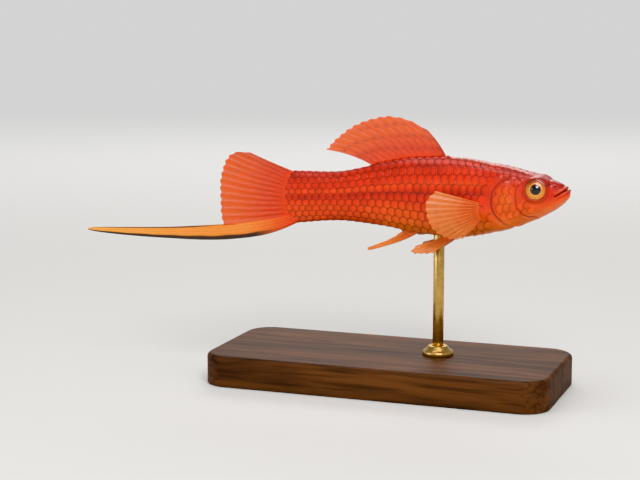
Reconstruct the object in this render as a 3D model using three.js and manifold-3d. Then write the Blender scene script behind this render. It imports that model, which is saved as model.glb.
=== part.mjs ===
// A life-size male red swordtail (Xiphophorus hellerii, red form), swimming, held over a plain base by one rod.
// Millimetres, +Z up. The origin is the centre of the base's underside. The head is towards +X, the fish's left is +Y.
//
// The fish is first made straight, in its own coordinates: s runs from the tip of the lower jaw to the tip of the
// sword, y is to the fish's left and z is up from its middle line. Every solid is then laid along a gently swinging
// centreline by bend(), so that the pieces of one body stay in register.
import * as THREE from "three";
import { mergeVertices } from "three/addons/utils/BufferGeometryUtils.js";
import Module from "manifold-3d";

const wasm = await Module();
wasm.setup();

// ---- driving dimensions ------------------------------------------------------------------------------------------
const BODY_LENGTH = 62; // tip of the jaw to the base of the tail fin (standard length)
const BODY_END = 65.4; // where the tail stem has thinned out between the roots of the tail fin's rays
const SWORD_END = 112; // tip of the jaw to the tip of the sword
const GAP = 0.3; // between neighbouring pieces
const FIN_THICK = 0.55; // of a fin between its rays
const RAY_RIDGE = 0.22; // how much thicker a fin is at a ray
const EYE = { s: 6.75, z: 2.15, r: 2.3, bulge: 1.5, sunk: 0.95 }; // centre, radius, half thickness, depth of its centre
const SWIM_HEIGHT = 42; // the fish's middle line over the floor
const PITCH = THREE.MathUtils.degToRad(2); // head up
const NOSE_X = 40; // the tip of the jaw from the base's centre
const BASE = { length: 78, width: 34, height: 7, corner: 6, bevel: 1 };
const ROD = { s: 29.4, radius: 1.2, inBody: 4.2, inBase: 4.5 };
const COLLAR = { radius: 3.4, height: 2.2 };

// ---- smooth curves through named stations ------------------------------------------------------------------------
// Monotone cubic through (x, y), so that no bulge comes between two stations.
function smooth(xs, ys) {
  const n = xs.length;
  const h = xs.slice(1).map((x, i) => x - xs[i]);
  const d = h.map((w, i) => (ys[i + 1] - ys[i]) / w);
  const m = xs.map((_, i) => {
    if (i === 0) return d[0];
    if (i === n - 1) return d[n - 2];
    if (d[i - 1] * d[i] <= 0) return 0;
    const a = 2 * h[i] + h[i - 1];
    const b = h[i] + 2 * h[i - 1];
    return (a + b) / (a / d[i - 1] + b / d[i]);
  });
  return (x) => {
    if (x <= xs[0]) return ys[0] + m[0] * (x - xs[0]);
    if (x >= xs[n - 1]) return ys[n - 1] + m[n - 1] * (x - xs[n - 1]);
    let i = 0;
    while (x > xs[i + 1]) i++;
    const t = (x - xs[i]) / h[i];
    const t2 = t * t;
    const t3 = t2 * t;
    return (
      (2 * t3 - 3 * t2 + 1) * ys[i] +
      (t3 - 2 * t2 + t) * h[i] * m[i] +
      (3 * t2 - 2 * t3) * ys[i + 1] +
      (t3 - t2) * h[i] * m[i + 1]
    );
  };
}

// The stations are taken at the square root of s, which rounds the snout off.
// Station:       tip   lips  nostril eye  gill  belly  vent  dorsal stem  tail
const STATION = [0, 1, 4, 8, 15.5, 26, 34, 43, 53, 62];
const along = (values) => {
  const f = smooth(STATION.map(Math.sqrt), values);
  return (s) => f(Math.sqrt(Math.max(s, 0)));
};
const backOf = along([1.35, 2.8, 4.1, 5.45, 7.3, 8.8, 8.65, 7.35, 5.75, 6.05]);
const bellyOf = along([1.05, -0.8, -2.95, -4.85, -7.4, -8.95, -8.1, -6.5, -5.4, -5.9]);
const widthOf = along([0.15, 1.75, 2.95, 3.95, 4.9, 4.75, 4.05, 3.0, 2.0, 1.15]);
const widestOf = along([1.2, 1.1, 0.95, 0.6, 0.2, 0.1, 0.3, 0.3, 0.2, 0.05]);
const backSquareness = along([2.0, 2.2, 2.6, 2.7, 2.3, 2.0, 1.95, 2.0, 2.1, 2.2]);
const bellySquareness = along([2.0, 2.1, 2.1, 2.1, 2.15, 2.15, 2.0, 1.95, 2.05, 2.2]);

// How much of the section is left past the tail's base, where the stem thins out in a wedge with a rounded end.
function closing(s) {
  const t = Math.min(Math.max((s - BODY_LENGTH) / (BODY_END - BODY_LENGTH), 0), 1);
  return { wide: Math.pow(1 - t, 0.75), tall: Math.pow(1 - t * t * t, 0.4) };
}

// A point of the body's surface: a is the angle round the section from the fish's left, up and over the back.
function bodyPoint(s, a, grow = 0) {
  const end = closing(s);
  const mid = widestOf(s);
  const tip = Math.min(1, Math.sqrt(Math.max(s, 0) / 0.6));
  const w = Math.max(widthOf(s) * end.wide + grow * tip, 0.02);
  const up = Math.max((backOf(s) - mid) * end.tall * (s <= 0 ? 0 : 1) + grow * tip, 0);
  const down = Math.max((mid - bellyOf(s)) * end.tall * (s <= 0 ? 0 : 1) + grow * tip, 0);
  const c = Math.cos(a);
  const d = Math.sin(a);
  const n = 2 / (d >= 0 ? backSquareness(s) : bellySquareness(s));
  const y = w * Math.sign(c) * Math.pow(Math.abs(c), n);
  const z = mid + (d >= 0 ? up : down) * Math.sign(d) * Math.pow(Math.abs(d), n);
  return [y, z];
}

// The body's half width at height z.
function sideOf(s, z) {
  const mid = widestOf(s);
  const up = z >= mid;
  const tall = up ? backOf(s) - mid : mid - bellyOf(s);
  const n = up ? backSquareness(s) : bellySquareness(s);
  const r = Math.min(Math.abs(z - mid) / tall, 1);
  return widthOf(s) * Math.pow(1 - Math.pow(r, n), 1 / n);
}

// ---- solids ------------------------------------------------------------------------------------------------------
function solidFrom(geometry) {
  const g = geometry.clone();
  for (const name of Object.keys(g.attributes)) if (name !== "position") g.deleteAttribute(name);
  const merged = mergeVertices(g, 1e-4);
  return new wasm.Manifold(
    new wasm.Mesh({
      numProp: 3,
      vertProperties: new Float32Array(merged.attributes.position.array),
      triVerts: new Uint32Array(merged.index.array),
    }),
  );
}

// Moves every vertex of a geometry by a function of its place.
function remap(geometry, f) {
  const p = geometry.attributes.position;
  for (let i = 0; i < p.count; i++) p.setXYZ(i, ...f(p.getX(i), p.getY(i), p.getZ(i)));
  return geometry;
}

// The body whole: a sphere whose poles are the jaw's tip and the end of the tail stem, its rings spread by sqrt(s).
const AROUND = 28;
const RINGS = 34;
function bodySolid(grow = 0) {
  const from = 0;
  const to = BODY_END + Math.max(grow, 0);
  const ball = new THREE.SphereGeometry(1, AROUND, RINGS);
  return solidFrom(
    remap(ball, (x, y, z) => {
      const t = Math.acos(THREE.MathUtils.clamp(y, -1, 1)) / Math.PI;
      const spread = 0.42 * Math.pow(t, 2) + 0.58 * t; // finer at the head
      const near = spread > 0.94 ? 0.94 + (spread - 0.94) * (1 + 0.0 * spread) : spread;
      const s = from + (to - from) * near;
      const pole = t < 1e-6 || t > 1 - 1e-6;
      const a = Math.atan2(z, x);
      const inside = Math.min(s, BODY_END - 1e-3);
      if (pole) return [t < 0.5 ? from - Math.max(grow, 0) : to, 0, widestOf(inside)];
      const [py, pz] = bodyPoint(inside, a, grow);
      return [s, py, pz];
    }),
  );
}

// An outline in the (s, z) plane, pushed through from y = low to y = high.
function prism(outline, low, high) {
  const shape = new THREE.Shape(outline.map(([s, z]) => new THREE.Vector2(s, z)));
  const g = new THREE.ExtrudeGeometry(shape, { depth: high - low, bevelEnabled: false, steps: 1 });
  return solidFrom(remap(g, (x, y, z) => [x, -(low + z), y])).mirror([0, 1, 0]);
}

// A smooth closed outline through a few named corners.
function rounded(corners, points) {
  const path = new THREE.CatmullRomCurve3(
    corners.map(([s, z]) => new THREE.Vector3(s, z, 0)),
    true,
    "centripetal",
  );
  return path.getPoints(points).slice(0, -1).map((p) => [p.x, p.y]);
}

// An outline moved outwards by d (it goes round anticlockwise).
function grown(outline, d) {
  const n = outline.length;
  return outline.map(([x, y], i) => {
    const [ax, ay] = outline[(i + n - 1) % n];
    const [bx, by] = outline[(i + 1) % n];
    const l = Math.hypot(bx - ax, by - ay);
    return [x + ((by - ay) / l) * d, y - ((bx - ax) / l) * d];
  });
}

function anticlockwise(outline) {
  const area = outline.reduce((t, [x, y], i) => {
    const [u, v] = outline[(i + 1) % outline.length];
    return t + x * v - u * y;
  }, 0);
  return area > 0 ? outline : outline.slice().reverse();
}

// A fin: a sheet of rays. at(u, v) gives the middle of the sheet, u across the rays and v from root to edge.
function finSolid(rays, lengthwise, at, thick = (u, v) => FIN_THICK) {
  const across = 2 * (rays - 1);
  const sheet = new THREE.BoxGeometry(1, 1, 1, across, 1, lengthwise);
  const e = 1e-3;
  const minus = (a, b) => new THREE.Vector3(a[0] - b[0], a[1] - b[1], a[2] - b[2]);
  return solidFrom(
    remap(sheet, (x, y, z) => {
      const u = x + 0.5;
      const v = z + 0.5;
      const c = at(u, v);
      const du = minus(at(Math.min(u + e, 1), v), at(Math.max(u - e, 0), v));
      const dv = minus(at(u, Math.min(v + e, 1)), at(u, Math.max(v - e, 0)));
      const normal = du.cross(dv).normalize();
      const onRay = 0.5 + 0.5 * Math.cos(2 * Math.PI * (rays - 1) * u);
      const t = thick(u, v) + RAY_RIDGE * onRay * (1 - 0.6 * v);
      const side = y > 0 ? -0.5 : 0.5;
      return [c[0] + normal.x * t * side, c[1] + normal.y * t * side, c[2] + normal.z * t * side];
    }),
  );
}
const scallop = (rays, u) => 0.3 * (0.5 - 0.5 * Math.cos(2 * Math.PI * (rays - 1) * u));
const lerp = (a, b, t) => a + (b - a) * t;
const rad = THREE.MathUtils.degToRad;

// ---- the fins, each as a function of (u, v) ----------------------------------------------------------------------
const DORSAL = {
  rays: 13,
  from: 27.2,
  to: 43.0,
  length: smooth([0, 0.12, 0.3, 0.55, 0.8, 1], [8.2, 11.6, 13.9, 14.4, 13.6, 12.2]),
  lean: smooth([0, 0.5, 1], [27, 45, 63]),
};
function dorsalAt(u, v) {
  const s0 = lerp(DORSAL.from, DORSAL.to, u);
  const z0 = backOf(s0) - 0.9;
  const lean = rad(DORSAL.lean(u) - 5 + 12 * v);
  const l = (DORSAL.length(u) - scallop(DORSAL.rays, u)) * v;
  return [s0 + l * Math.sin(lean), 0.75 * Math.sin(3.4 * u + 0.5) * v * v, z0 + l * Math.cos(lean)];
}

const TAIL = {
  rays: 13,
  root: 61.9,
  reach: smooth([0, 0.06, 0.14, 0.3, 0.55, 0.85, 1], [10.2, 12.6, 14.6, 16.4, 17.5, 17.4, 16.9]),
};
const swordMiddle = (r) => -4.6 - 3.9 * (1 - Math.exp(-Math.max(r, 0) / 9)) + 0.0005 * r * r;
const swordHalf = smooth([0, 9, 17, 30, 42, 48.5, 50.1], [1.25, 1.75, 1.75, 1.3, 0.85, 0.45, 0.2]);
function tailAt(u, v) {
  const r = (TAIL.reach(u) - scallop(TAIL.rays, u)) * v;
  const top = 5.45 + 0.42 * r + 0.0042 * r * r;
  const bottom = swordMiddle(r) + swordHalf(r) + GAP;
  const z = lerp(top, bottom, u);
  return [TAIL.root + r, 0.5 * Math.sin(4.5 * u) * v * v, z];
}
function swordAt(u, v) {
  const r = (SWORD_END - TAIL.root) * v;
  return [TAIL.root + r, 0.5 * Math.sin(4.5) * Math.min(v * 3, 1) ** 2 * (1 - v) - 0.12 * Math.sin(2.2 * (u - 0.5)) * v, swordMiddle(r) + swordHalf(r) * (1 - 2 * u)];
}

const ANAL = { rays: 5, from: 33.4, to: 36.3, long: 12.2, short: 3.4, wide: 1.05 }; // the male's anal fin, grown into a rod
function analAt(u, v) {
  const s0 = lerp(ANAL.from, ANAL.to, u);
  const z0 = bellyOf(s0) + 0.7;
  const drop = rad(26 - 6 * v);
  const shut = THREE.MathUtils.smoothstep(v, 0, 0.32); // the long rays close up into a rod
  const across = ANAL.wide * (Math.min(u / 0.62, 1) - 0.5) * (1 - 0.45 * v);
  const c = [ANAL.from + 0.9, bellyOf(ANAL.from + 0.9) + 0.45];
  const long = [
    lerp(s0, c[0] + across * Math.sin(drop), shut) + ANAL.long * v * Math.cos(drop),
    lerp(z0, c[1] + across * Math.cos(drop), shut) - ANAL.long * v * Math.sin(drop),
  ];
  const short = [s0 + ANAL.short * v * Math.cos(rad(30)), z0 - ANAL.short * v * Math.sin(rad(30))];
  const k = THREE.MathUtils.smoothstep(u, 0.6, 0.98);
  return [lerp(long[0], short[0], k), 0, lerp(long[1], short[1], k)];
}

const PECTORAL = { rays: 12, s: 17.7, top: -1.0, bottom: -3.8 };
function pectoralAt(side) {
  const length = smooth([0, 0.2, 0.5, 0.8, 1], [11.2, 12.9, 12.2, 9.4, 6.6]);
  return (u, v) => {
    const z0 = lerp(PECTORAL.top, PECTORAL.bottom, u);
    const s0 = PECTORAL.s + 0.5 * u;
    const y0 = sideOf(s0, z0) - 0.6;
    const l = (length(u) - scallop(PECTORAL.rays, u)) * v;
    const rise = rad(lerp(17, -43, u));
    const out = rad(lerp(30, 40, u) - 9 * v);
    return [
      s0 + l * Math.cos(rise) * Math.cos(out),
      side * (y0 + l * Math.cos(rise) * Math.sin(out) + 0.25 * Math.sin(5 * u) * v),
      z0 + l * Math.sin(rise),
    ];
  };
}

const PELVIC = { rays: 6, s: 24.4, spread: 1.7 };
function pelvicAt(side) {
  const length = smooth([0, 0.35, 0.75, 1], [7.0, 8.6, 10.2, 8.4]);
  return (u, v) => {
    const s0 = PELVIC.s + PELVIC.spread * u;
    const y0 = lerp(2.5, 1.75, u);
    const z0 = bellyOf(s0) + 1.15;
    const l = (length(u) - scallop(PELVIC.rays, u)) * v;
    const drop = rad(lerp(41, 25, u) - 6 * v);
    const out = rad(lerp(21, 9, u));
    return [
      s0 + l * Math.cos(drop) * Math.cos(out),
      side * (y0 + l * Math.cos(drop) * Math.sin(out)),
      z0 - l * Math.sin(drop),
    ];
  };
}

// ---- the straight fish, parted -----------------------------------------------------------------------------------
const body = bodySolid(0);
const bodyGrown = bodySolid(GAP);

// Gill cover: a plate on the side of the head that stands a little proud of it.
const COVER_OUTLINE = anticlockwise(
  rounded(
    [
      [10.6, 3.3],
      [13.6, 3.7],
      [15.7, 1.6],
      [15.9, -1.6],
      [14.4, -4.6],
      [11.6, -5.7],
      [9.7, -3.6],
      [9.6, 0.4],
    ],
    36,
  ),
);
const COVER_THICK = 1.1;
const coverProud = bodySolid(0.2);
const coverInner = bodySolid(-COVER_THICK);
const coverSeat = bodySolid(-COVER_THICK - GAP);
const coverOf = (side) =>
  prism(COVER_OUTLINE, side > 0 ? 0.8 : -9, side > 0 ? 9 : -0.8).intersect(coverProud).subtract(coverInner);
const coverRoom = (side) =>
  prism(grown(COVER_OUTLINE, GAP), side > 0 ? 0.8 - GAP : -9, side > 0 ? 9 : -0.8 + GAP).subtract(coverSeat);

// Lower jaw: in front of the corner of the mouth and under its slit, which runs down and back from the tip.
const slit = (s) => 2.15 - 0.62 * (s - 0.3);
const JAW_OUTLINE = anticlockwise([
  [-1, slit(-1) - GAP / 2],
  [2.7, slit(2.7) - GAP / 2],
  [3.5, -0.9],
  [3.9, -4.2],
  [-1, -4.2],
]);
const JAW_ROOM = anticlockwise([
  [-2, slit(-2) + GAP / 2],
  [2.85, slit(2.85) + GAP / 2],
  [3.8, -0.9],
  [4.2, -5],
  [-2, -5],
]);
const slab = (from, to) =>
  solidFrom(remap(new THREE.BoxGeometry(1, 1, 1), (x, y, z) => [lerp(from, to, x + 0.5), y * 40, z * 60]));

// Eye: a flattened ball, sunk in the side of the head and tipped with it.
const eyeOf = (side, grow = 0) => {
  const y0 = sideOf(EYE.s, EYE.z) - EYE.sunk;
  const tilt = Math.atan2(sideOf(EYE.s, EYE.z + 1) - sideOf(EYE.s, EYE.z - 1), 2);
  const turn = Math.atan2(sideOf(EYE.s + 1, EYE.z) - sideOf(EYE.s - 1, EYE.z), 2);
  const left = solidFrom(
    remap(new THREE.SphereGeometry(1, 14, 9), (x, y, z) => {
      const p = new THREE.Vector3(x * (EYE.r + grow), -z * (EYE.bulge + grow), y * (EYE.r + grow));
      p.applyAxisAngle(new THREE.Vector3(1, 0, 0), -tilt * 0.8);
      p.applyAxisAngle(new THREE.Vector3(0, 0, 1), turn * 0.8);
      return [EYE.s + p.x, y0 + p.y, EYE.z + p.z];
    }),
  );
  return side > 0 ? left : left.mirror([0, 1, 0]);
};

const NECK = 16.6; // the head ends just behind its gill covers
const STEM = 44.5; // the tail stem starts behind the dorsal fin
const rodHole = (r, from, to) =>
  solidFrom(remap(new THREE.CylinderGeometry(r, r, 1, 20), (x, y, z) => [ROD.s + x, z, lerp(from, to, y + 0.5)]).scale(1, -1, 1)).mirror([0, 1, 0]);

let head = body.intersect(slab(-5, NECK));
for (const side of [1, -1]) head = head.subtract(coverRoom(side)).subtract(eyeOf(side, GAP));
head = head.subtract(prism(JAW_ROOM, -9, 9));
const jaw = body.intersect(prism(JAW_OUTLINE, -9, 9));
const trunk = body.intersect(slab(NECK + GAP, STEM)).subtract(rodHole(ROD.radius + GAP, -20, bellyOf(ROD.s) + ROD.inBody + GAP));
const stem = body.intersect(slab(STEM + GAP, 70));

const off = (fin) => fin.subtract(bodyGrown);
const fins = {
  dorsal_fin: off(finSolid(DORSAL.rays, 4, dorsalAt, (u, v) => FIN_THICK + 0.35 * (1 - v) ** 3)),
  caudal_fin: off(finSolid(TAIL.rays, 4, tailAt, (u, v) => FIN_THICK + 0.7 * (1 - v) ** 4)),
  sword: off(finSolid(5, 12, swordAt, (u, v) => FIN_THICK + 0.7 * Math.max(0, 1 - 4 * v) ** 2)),
  anal_fin: off(finSolid(ANAL.rays, 6, analAt, (u, v) => 0.75 + 0.3 * (1 - v))),
  pectoral_fin_left: off(finSolid(PECTORAL.rays, 3, pectoralAt(1), (u, v) => FIN_THICK + 0.5 * (1 - v) ** 3)),
  pectoral_fin_right: off(finSolid(PECTORAL.rays, 3, pectoralAt(-1), (u, v) => FIN_THICK + 0.5 * (1 - v) ** 3)),
  pelvic_fin_left: off(finSolid(PELVIC.rays, 4, pelvicAt(1), (u, v) => FIN_THICK + 0.3 * (1 - v) ** 3)),
  pelvic_fin_right: off(finSolid(PELVIC.rays, 4, pelvicAt(-1), (u, v) => FIN_THICK + 0.3 * (1 - v) ** 3)),
};

// ---- the swimming bend -------------------------------------------------------------------------------------------
// heading gives the centreline's turn in degrees along s; the tail swings to the fish's right and the sword trails it.
const heading = smooth([-5, 15, 30, 45, 62, 80, 113], [-3, -3, 0, 5, 9.5, 8, 1]);
const STEPS = 1200;
const LINE = [[NOSE_X + 5 * Math.cos(rad(heading(-5))), 5 * Math.sin(rad(heading(-5)))]];
for (let i = 0; i < STEPS; i++) {
  const step = 120 / STEPS;
  const h = rad(heading(-5 + (i + 0.5) * step));
  const [x, y] = LINE[i];
  LINE.push([x - step * Math.cos(h), y - step * Math.sin(h)]);
}
function bend(s, y, z) {
  const t = THREE.MathUtils.clamp(((s + 5) / 120) * STEPS, 0, STEPS - 1e-6);
  const i = Math.floor(t);
  const cx = lerp(LINE[i][0], LINE[i + 1][0], t - i);
  const cy = lerp(LINE[i][1], LINE[i + 1][1], t - i);
  const h = rad(heading(s));
  return [cx - y * Math.sin(h), cy + y * Math.cos(h), z];
}

function meshOf(name, solid, material, place = bend) {
  const m = solid.getMesh();
  const v = new Float32Array(m.numVert * 3);
  for (let i = 0; i < m.numVert; i++) {
    const k = i * m.numProp;
    v.set(place(m.vertProperties[k], m.vertProperties[k + 1], m.vertProperties[k + 2]), i * 3);
  }
  const g = new THREE.BufferGeometry();
  g.setAttribute("position", new THREE.BufferAttribute(v, 3));
  // (s, y, z) is left handed once s runs back from +X, so the faces are turned round
  const tri = Array.from(m.triVerts);
  if (place === bend) for (let i = 0; i < tri.length; i += 3) [tri[i + 1], tri[i + 2]] = [tri[i + 2], tri[i + 1]];
  g.setIndex(tri);
  g.computeVertexNormals();
  const mesh = new THREE.Mesh(g, material);
  mesh.name = name;
  return mesh;
}

// ---- materials ---------------------------------------------------------------------------------------------------
const material = (color, roughness, metalness = 0, more = {}) =>
  new THREE.MeshStandardMaterial({ color, roughness, metalness, ...more });
const skin = material(0xd8431c, 0.38);
const cover = material(0xdc5426, 0.3);
const fin = material(0xe0552a, 0.45, 0, { transparent: true, opacity: 0.85 });
const swordLook = material(0xe8792e, 0.42);
const eyeLook = material(0x241a12, 0.08);
const wood = material(0x3a2216, 0.45);
const brass = material(0xc19a4b, 0.3, 1);

// ---- the scene graph ---------------------------------------------------------------------------------------------
const part = new THREE.Group();

const fish = new THREE.Group();
fish.position.set(0, 0, SWIM_HEIGHT);
fish.rotation.y = -PITCH; // about the base's centre, so the nose lifts
part.add(fish);
fish.add(meshOf("head", head, skin));
fish.add(meshOf("lower_jaw", jaw, skin));
fish.add(meshOf("trunk", trunk, skin));
fish.add(meshOf("tail_stem", stem, skin));
for (const [name, side] of [
  ["left", 1],
  ["right", -1],
]) {
  fish.add(meshOf("gill_cover_" + name, coverOf(side), cover));
  fish.add(meshOf("eye_" + name, eyeOf(side), eyeLook));
}
for (const [name, solid] of Object.entries(fins)) fish.add(meshOf(name, solid, name === "sword" ? swordLook : fin));

// The rod stands upright under the hole in the belly, where bend and pitch have carried it.
fish.updateMatrixWorld(true);
const under = new THREE.Vector3(...bend(ROD.s, 0, bellyOf(ROD.s))).applyMatrix4(fish.matrixWorld);
const stand = new THREE.Group();
part.add(stand);

const half = [BASE.length / 2 - BASE.bevel, BASE.width / 2 - BASE.bevel];
const plan = new THREE.Shape();
const c = BASE.corner;
plan.moveTo(-half[0] + c, -half[1]);
plan.lineTo(half[0] - c, -half[1]);
plan.absarc(half[0] - c, -half[1] + c, c, -Math.PI / 2, 0);
plan.lineTo(half[0], half[1] - c);
plan.absarc(half[0] - c, half[1] - c, c, 0, Math.PI / 2);
plan.lineTo(-half[0] + c, half[1]);
plan.absarc(-half[0] + c, half[1] - c, c, Math.PI / 2, Math.PI);
plan.lineTo(-half[0], -half[1] + c);
plan.absarc(-half[0] + c, -half[1] + c, c, Math.PI, 1.5 * Math.PI);
const block = new THREE.ExtrudeGeometry(plan, {
  depth: BASE.height - 2 * BASE.bevel,
  bevelThickness: BASE.bevel,
  bevelSize: BASE.bevel,
  bevelSegments: 2,
  curveSegments: 5,
  steps: 1,
}).translate(0, 0, BASE.bevel);
const upCylinder = (r, from, to, sides = 20) =>
  new THREE.CylinderGeometry(r, r, to - from, sides).rotateX(Math.PI / 2).translate(0, 0, (from + to) / 2);
const socket = solidFrom(upCylinder(ROD.radius + GAP, BASE.height - ROD.inBase - GAP, BASE.height + 3).translate(under.x, under.y, 0));
const straight = (x, y, z) => [x, y, z];
stand.add(meshOf("stand_base", solidFrom(block).subtract(socket), wood, straight));

const rod = new THREE.Mesh(upCylinder(ROD.radius, BASE.height - ROD.inBase, under.z + ROD.inBody), brass);
rod.name = "stand_rod";
rod.position.set(under.x, under.y, 0);
stand.add(rod);

const inner = ROD.radius + GAP;
const ring = new THREE.LatheGeometry(
  [
    [inner, 0],
    [COLLAR.radius, 0],
    [COLLAR.radius, COLLAR.height * 0.45],
    [COLLAR.radius * 0.86, COLLAR.height * 0.72],
    [COLLAR.radius * 0.62, COLLAR.height],
    [inner, COLLAR.height],
    [inner, 0],
  ].map(([r, z]) => new THREE.Vector2(r, z)),
  20,
).rotateX(Math.PI / 2);
const collar = new THREE.Mesh(ring, brass);
collar.name = "stand_collar";
collar.position.set(under.x, under.y, BASE.height + 0.1);
stand.add(collar);

export default part;
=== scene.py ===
import math

import bpy
import numpy as np
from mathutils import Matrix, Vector

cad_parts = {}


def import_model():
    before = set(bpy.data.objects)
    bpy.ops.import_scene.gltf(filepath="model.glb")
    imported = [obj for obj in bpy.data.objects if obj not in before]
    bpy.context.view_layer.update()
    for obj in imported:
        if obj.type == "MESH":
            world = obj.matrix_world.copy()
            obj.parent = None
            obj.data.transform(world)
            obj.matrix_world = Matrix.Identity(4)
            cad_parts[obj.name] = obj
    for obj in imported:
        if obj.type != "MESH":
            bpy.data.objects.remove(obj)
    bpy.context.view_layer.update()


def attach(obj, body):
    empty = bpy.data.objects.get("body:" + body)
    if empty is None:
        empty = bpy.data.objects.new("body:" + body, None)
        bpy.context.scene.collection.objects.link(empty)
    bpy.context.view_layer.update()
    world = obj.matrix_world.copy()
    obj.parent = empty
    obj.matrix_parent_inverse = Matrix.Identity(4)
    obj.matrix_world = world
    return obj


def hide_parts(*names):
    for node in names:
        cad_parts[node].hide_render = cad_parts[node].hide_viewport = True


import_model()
rng = np.random.default_rng(11)

# ---- dimensions, as in the solids --------------------------------------------------------------------------------
BODY_LENGTH, BODY_END, SWORD_END, GAP = 62.0, 65.4, 112.0, 0.3
EYE_S, EYE_Z, EYE_R, EYE_SUNK = 6.75, 2.15, 2.3, 0.95
SWIM_HEIGHT, PITCH, NOSE_X = 42.0, math.radians(2), 40.0
BASE_L, BASE_W, BASE_H, BASE_CORNER = 78.0, 34.0, 7.0, 6.0
ROD_S, ROD_R, COLLAR_R, COLLAR_H = 29.4, 1.2, 3.4, 2.2


def smooth(xs, ys):
    """Monotone cubic through (x, y)."""
    xs, ys = np.asarray(xs, float), np.asarray(ys, float)
    n = len(xs)
    h = np.diff(xs)
    d = np.diff(ys) / h
    m = np.zeros(n)
    m[0], m[-1] = d[0], d[-1]
    for i in range(1, n - 1):
        if d[i - 1] * d[i] > 0:
            a, b = 2 * h[i] + h[i - 1], h[i] + 2 * h[i - 1]
            m[i] = (a + b) / (a / d[i - 1] + b / d[i])

    def f(x):
        x = np.asarray(x, float)
        i = np.clip(np.searchsorted(xs, x, side="right") - 1, 0, n - 2)
        t = (x - xs[i]) / h[i]
        t2, t3 = t * t, t * t * t
        y = (
            (2 * t3 - 3 * t2 + 1) * ys[i]
            + (t3 - 2 * t2 + t) * h[i] * m[i]
            + (3 * t2 - 2 * t3) * ys[i + 1]
            + (t3 - t2) * h[i] * m[i + 1]
        )
        y = np.where(x <= xs[0], ys[0] + m[0] * (x - xs[0]), y)
        return np.where(x >= xs[-1], ys[-1] + m[-1] * (x - xs[-1]), y)

    return f


STATION = np.sqrt([0, 1, 4, 8, 15.5, 26, 34, 43, 53, 62])


def along(values):
    f = smooth(STATION, values)
    return lambda s: f(np.sqrt(np.maximum(s, 0)))


back_of = along([1.35, 2.8, 4.1, 5.45, 7.3, 8.8, 8.65, 7.35, 5.75, 6.05])
belly_of = along([1.05, -0.8, -2.95, -4.85, -7.4, -8.95, -8.1, -6.5, -5.4, -5.9])
width_of = along([0.15, 1.75, 2.95, 3.95, 4.9, 4.75, 4.05, 3.0, 2.0, 1.15])
widest_of = along([1.2, 1.1, 0.95, 0.6, 0.2, 0.1, 0.3, 0.3, 0.2, 0.05])
back_square = along([2.0, 2.2, 2.6, 2.7, 2.3, 2.0, 1.95, 2.0, 2.1, 2.2])
belly_square = along([2.0, 2.1, 2.1, 2.1, 2.15, 2.15, 2.0, 1.95, 2.05, 2.2])


def side_of(s, z):
    mid = widest_of(s)
    up = z >= mid
    tall = np.where(up, back_of(s) - mid, mid - belly_of(s))
    n = np.where(up, back_square(s), belly_square(s))
    r = np.minimum(np.abs(z - mid) / tall, 1)
    return width_of(s) * (1 - r**n) ** (1 / n)


def step(a, b, x):
    t = np.clip((np.asarray(x, float) - a) / (b - a), 0, 1)
    return t * t * (3 - 2 * t)


def lerp(a, b, t):
    return a + (b - a) * t


# ---- the swimming bend, then the frame ---------------------------------------------------------------------------
heading = smooth([-5, 15, 30, 45, 62, 80, 113], [-3, -3, 0, 5, 9.5, 8, 1])
_steps = 1200
_h = np.radians(heading(-5 + (np.arange(_steps) + 0.5) * 120 / _steps))
_h0 = math.radians(float(heading(-5)))
_line = np.zeros((_steps + 1, 2))
_line[0] = [NOSE_X + 5 * math.cos(_h0), 5 * math.sin(_h0)]
_line[1:, 0] = _line[0, 0] - np.cumsum(np.cos(_h)) * 120 / _steps
_line[1:, 1] = _line[0, 1] - np.cumsum(np.sin(_h)) * 120 / _steps


def world(p):
    """Straight-fish millimetres to the row frame's metres."""
    p = np.asarray(p, float)
    s, y, z = p[..., 0], p[..., 1], p[..., 2]
    k = np.clip((s + 5) / 120 * _steps, 0, _steps)
    cx = np.interp(k, np.arange(_steps + 1), _line[:, 0])
    cy = np.interp(k, np.arange(_steps + 1), _line[:, 1])
    h = np.radians(heading(s))
    x, y = cx - y * np.sin(h), cy + y * np.cos(h)
    c, d = math.cos(PITCH), math.sin(PITCH)
    return np.stack([x * c - z * d, y, x * d + z * c + SWIM_HEIGHT], -1) / 1000


# ---- the body's surface as a table over s and the share t of the way round (0 back, 0.5 belly, left side first) ----
S_TAB = np.concatenate(
    [
        0.5 * (np.arange(1, 13) / 12) ** 2,
        0.5 + np.arange(1, 85) * 3.7 / 84,
        4.2 + np.arange(1, 151) * 12.4 / 150,
        16.6 + np.arange(1, 111) * 45.4 / 110,
        62 + 3.4 * np.sin(np.arange(1, 21) / 20 * math.pi / 2),
    ]
)
S_TAB[-1] = BODY_END - 0.004
ROUND = 256
T_TAB = np.arange(ROUND + 1) / ROUND


def _ring(s):
    k = min(max((s - BODY_LENGTH) / (BODY_END - BODY_LENGTH), 0), 1)
    left, tall = (1 - k) ** 0.75, (1 - k**3) ** 0.4
    mid, w = float(widest_of(s)), max(float(width_of(s)) * left, 0.02)
    up, down = (float(back_of(s)) - mid) * tall, (mid - float(belly_of(s))) * tall
    a = math.pi / 2 - np.linspace(0, 2 * math.pi, 1441)
    c, d = np.cos(a), np.sin(a)
    n = 2 / np.where(d >= 0, float(back_square(s)), float(belly_square(s)))
    y = w * np.sign(c) * np.abs(c) ** n
    z = mid + np.where(d >= 0, up, down) * np.sign(d) * np.abs(d) ** n
    run = np.concatenate([[0], np.cumsum(np.hypot(np.diff(y), np.diff(z)))])
    t = T_TAB * run[-1]
    return np.interp(t, run, y), np.interp(t, run, z), run[-1]


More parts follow.
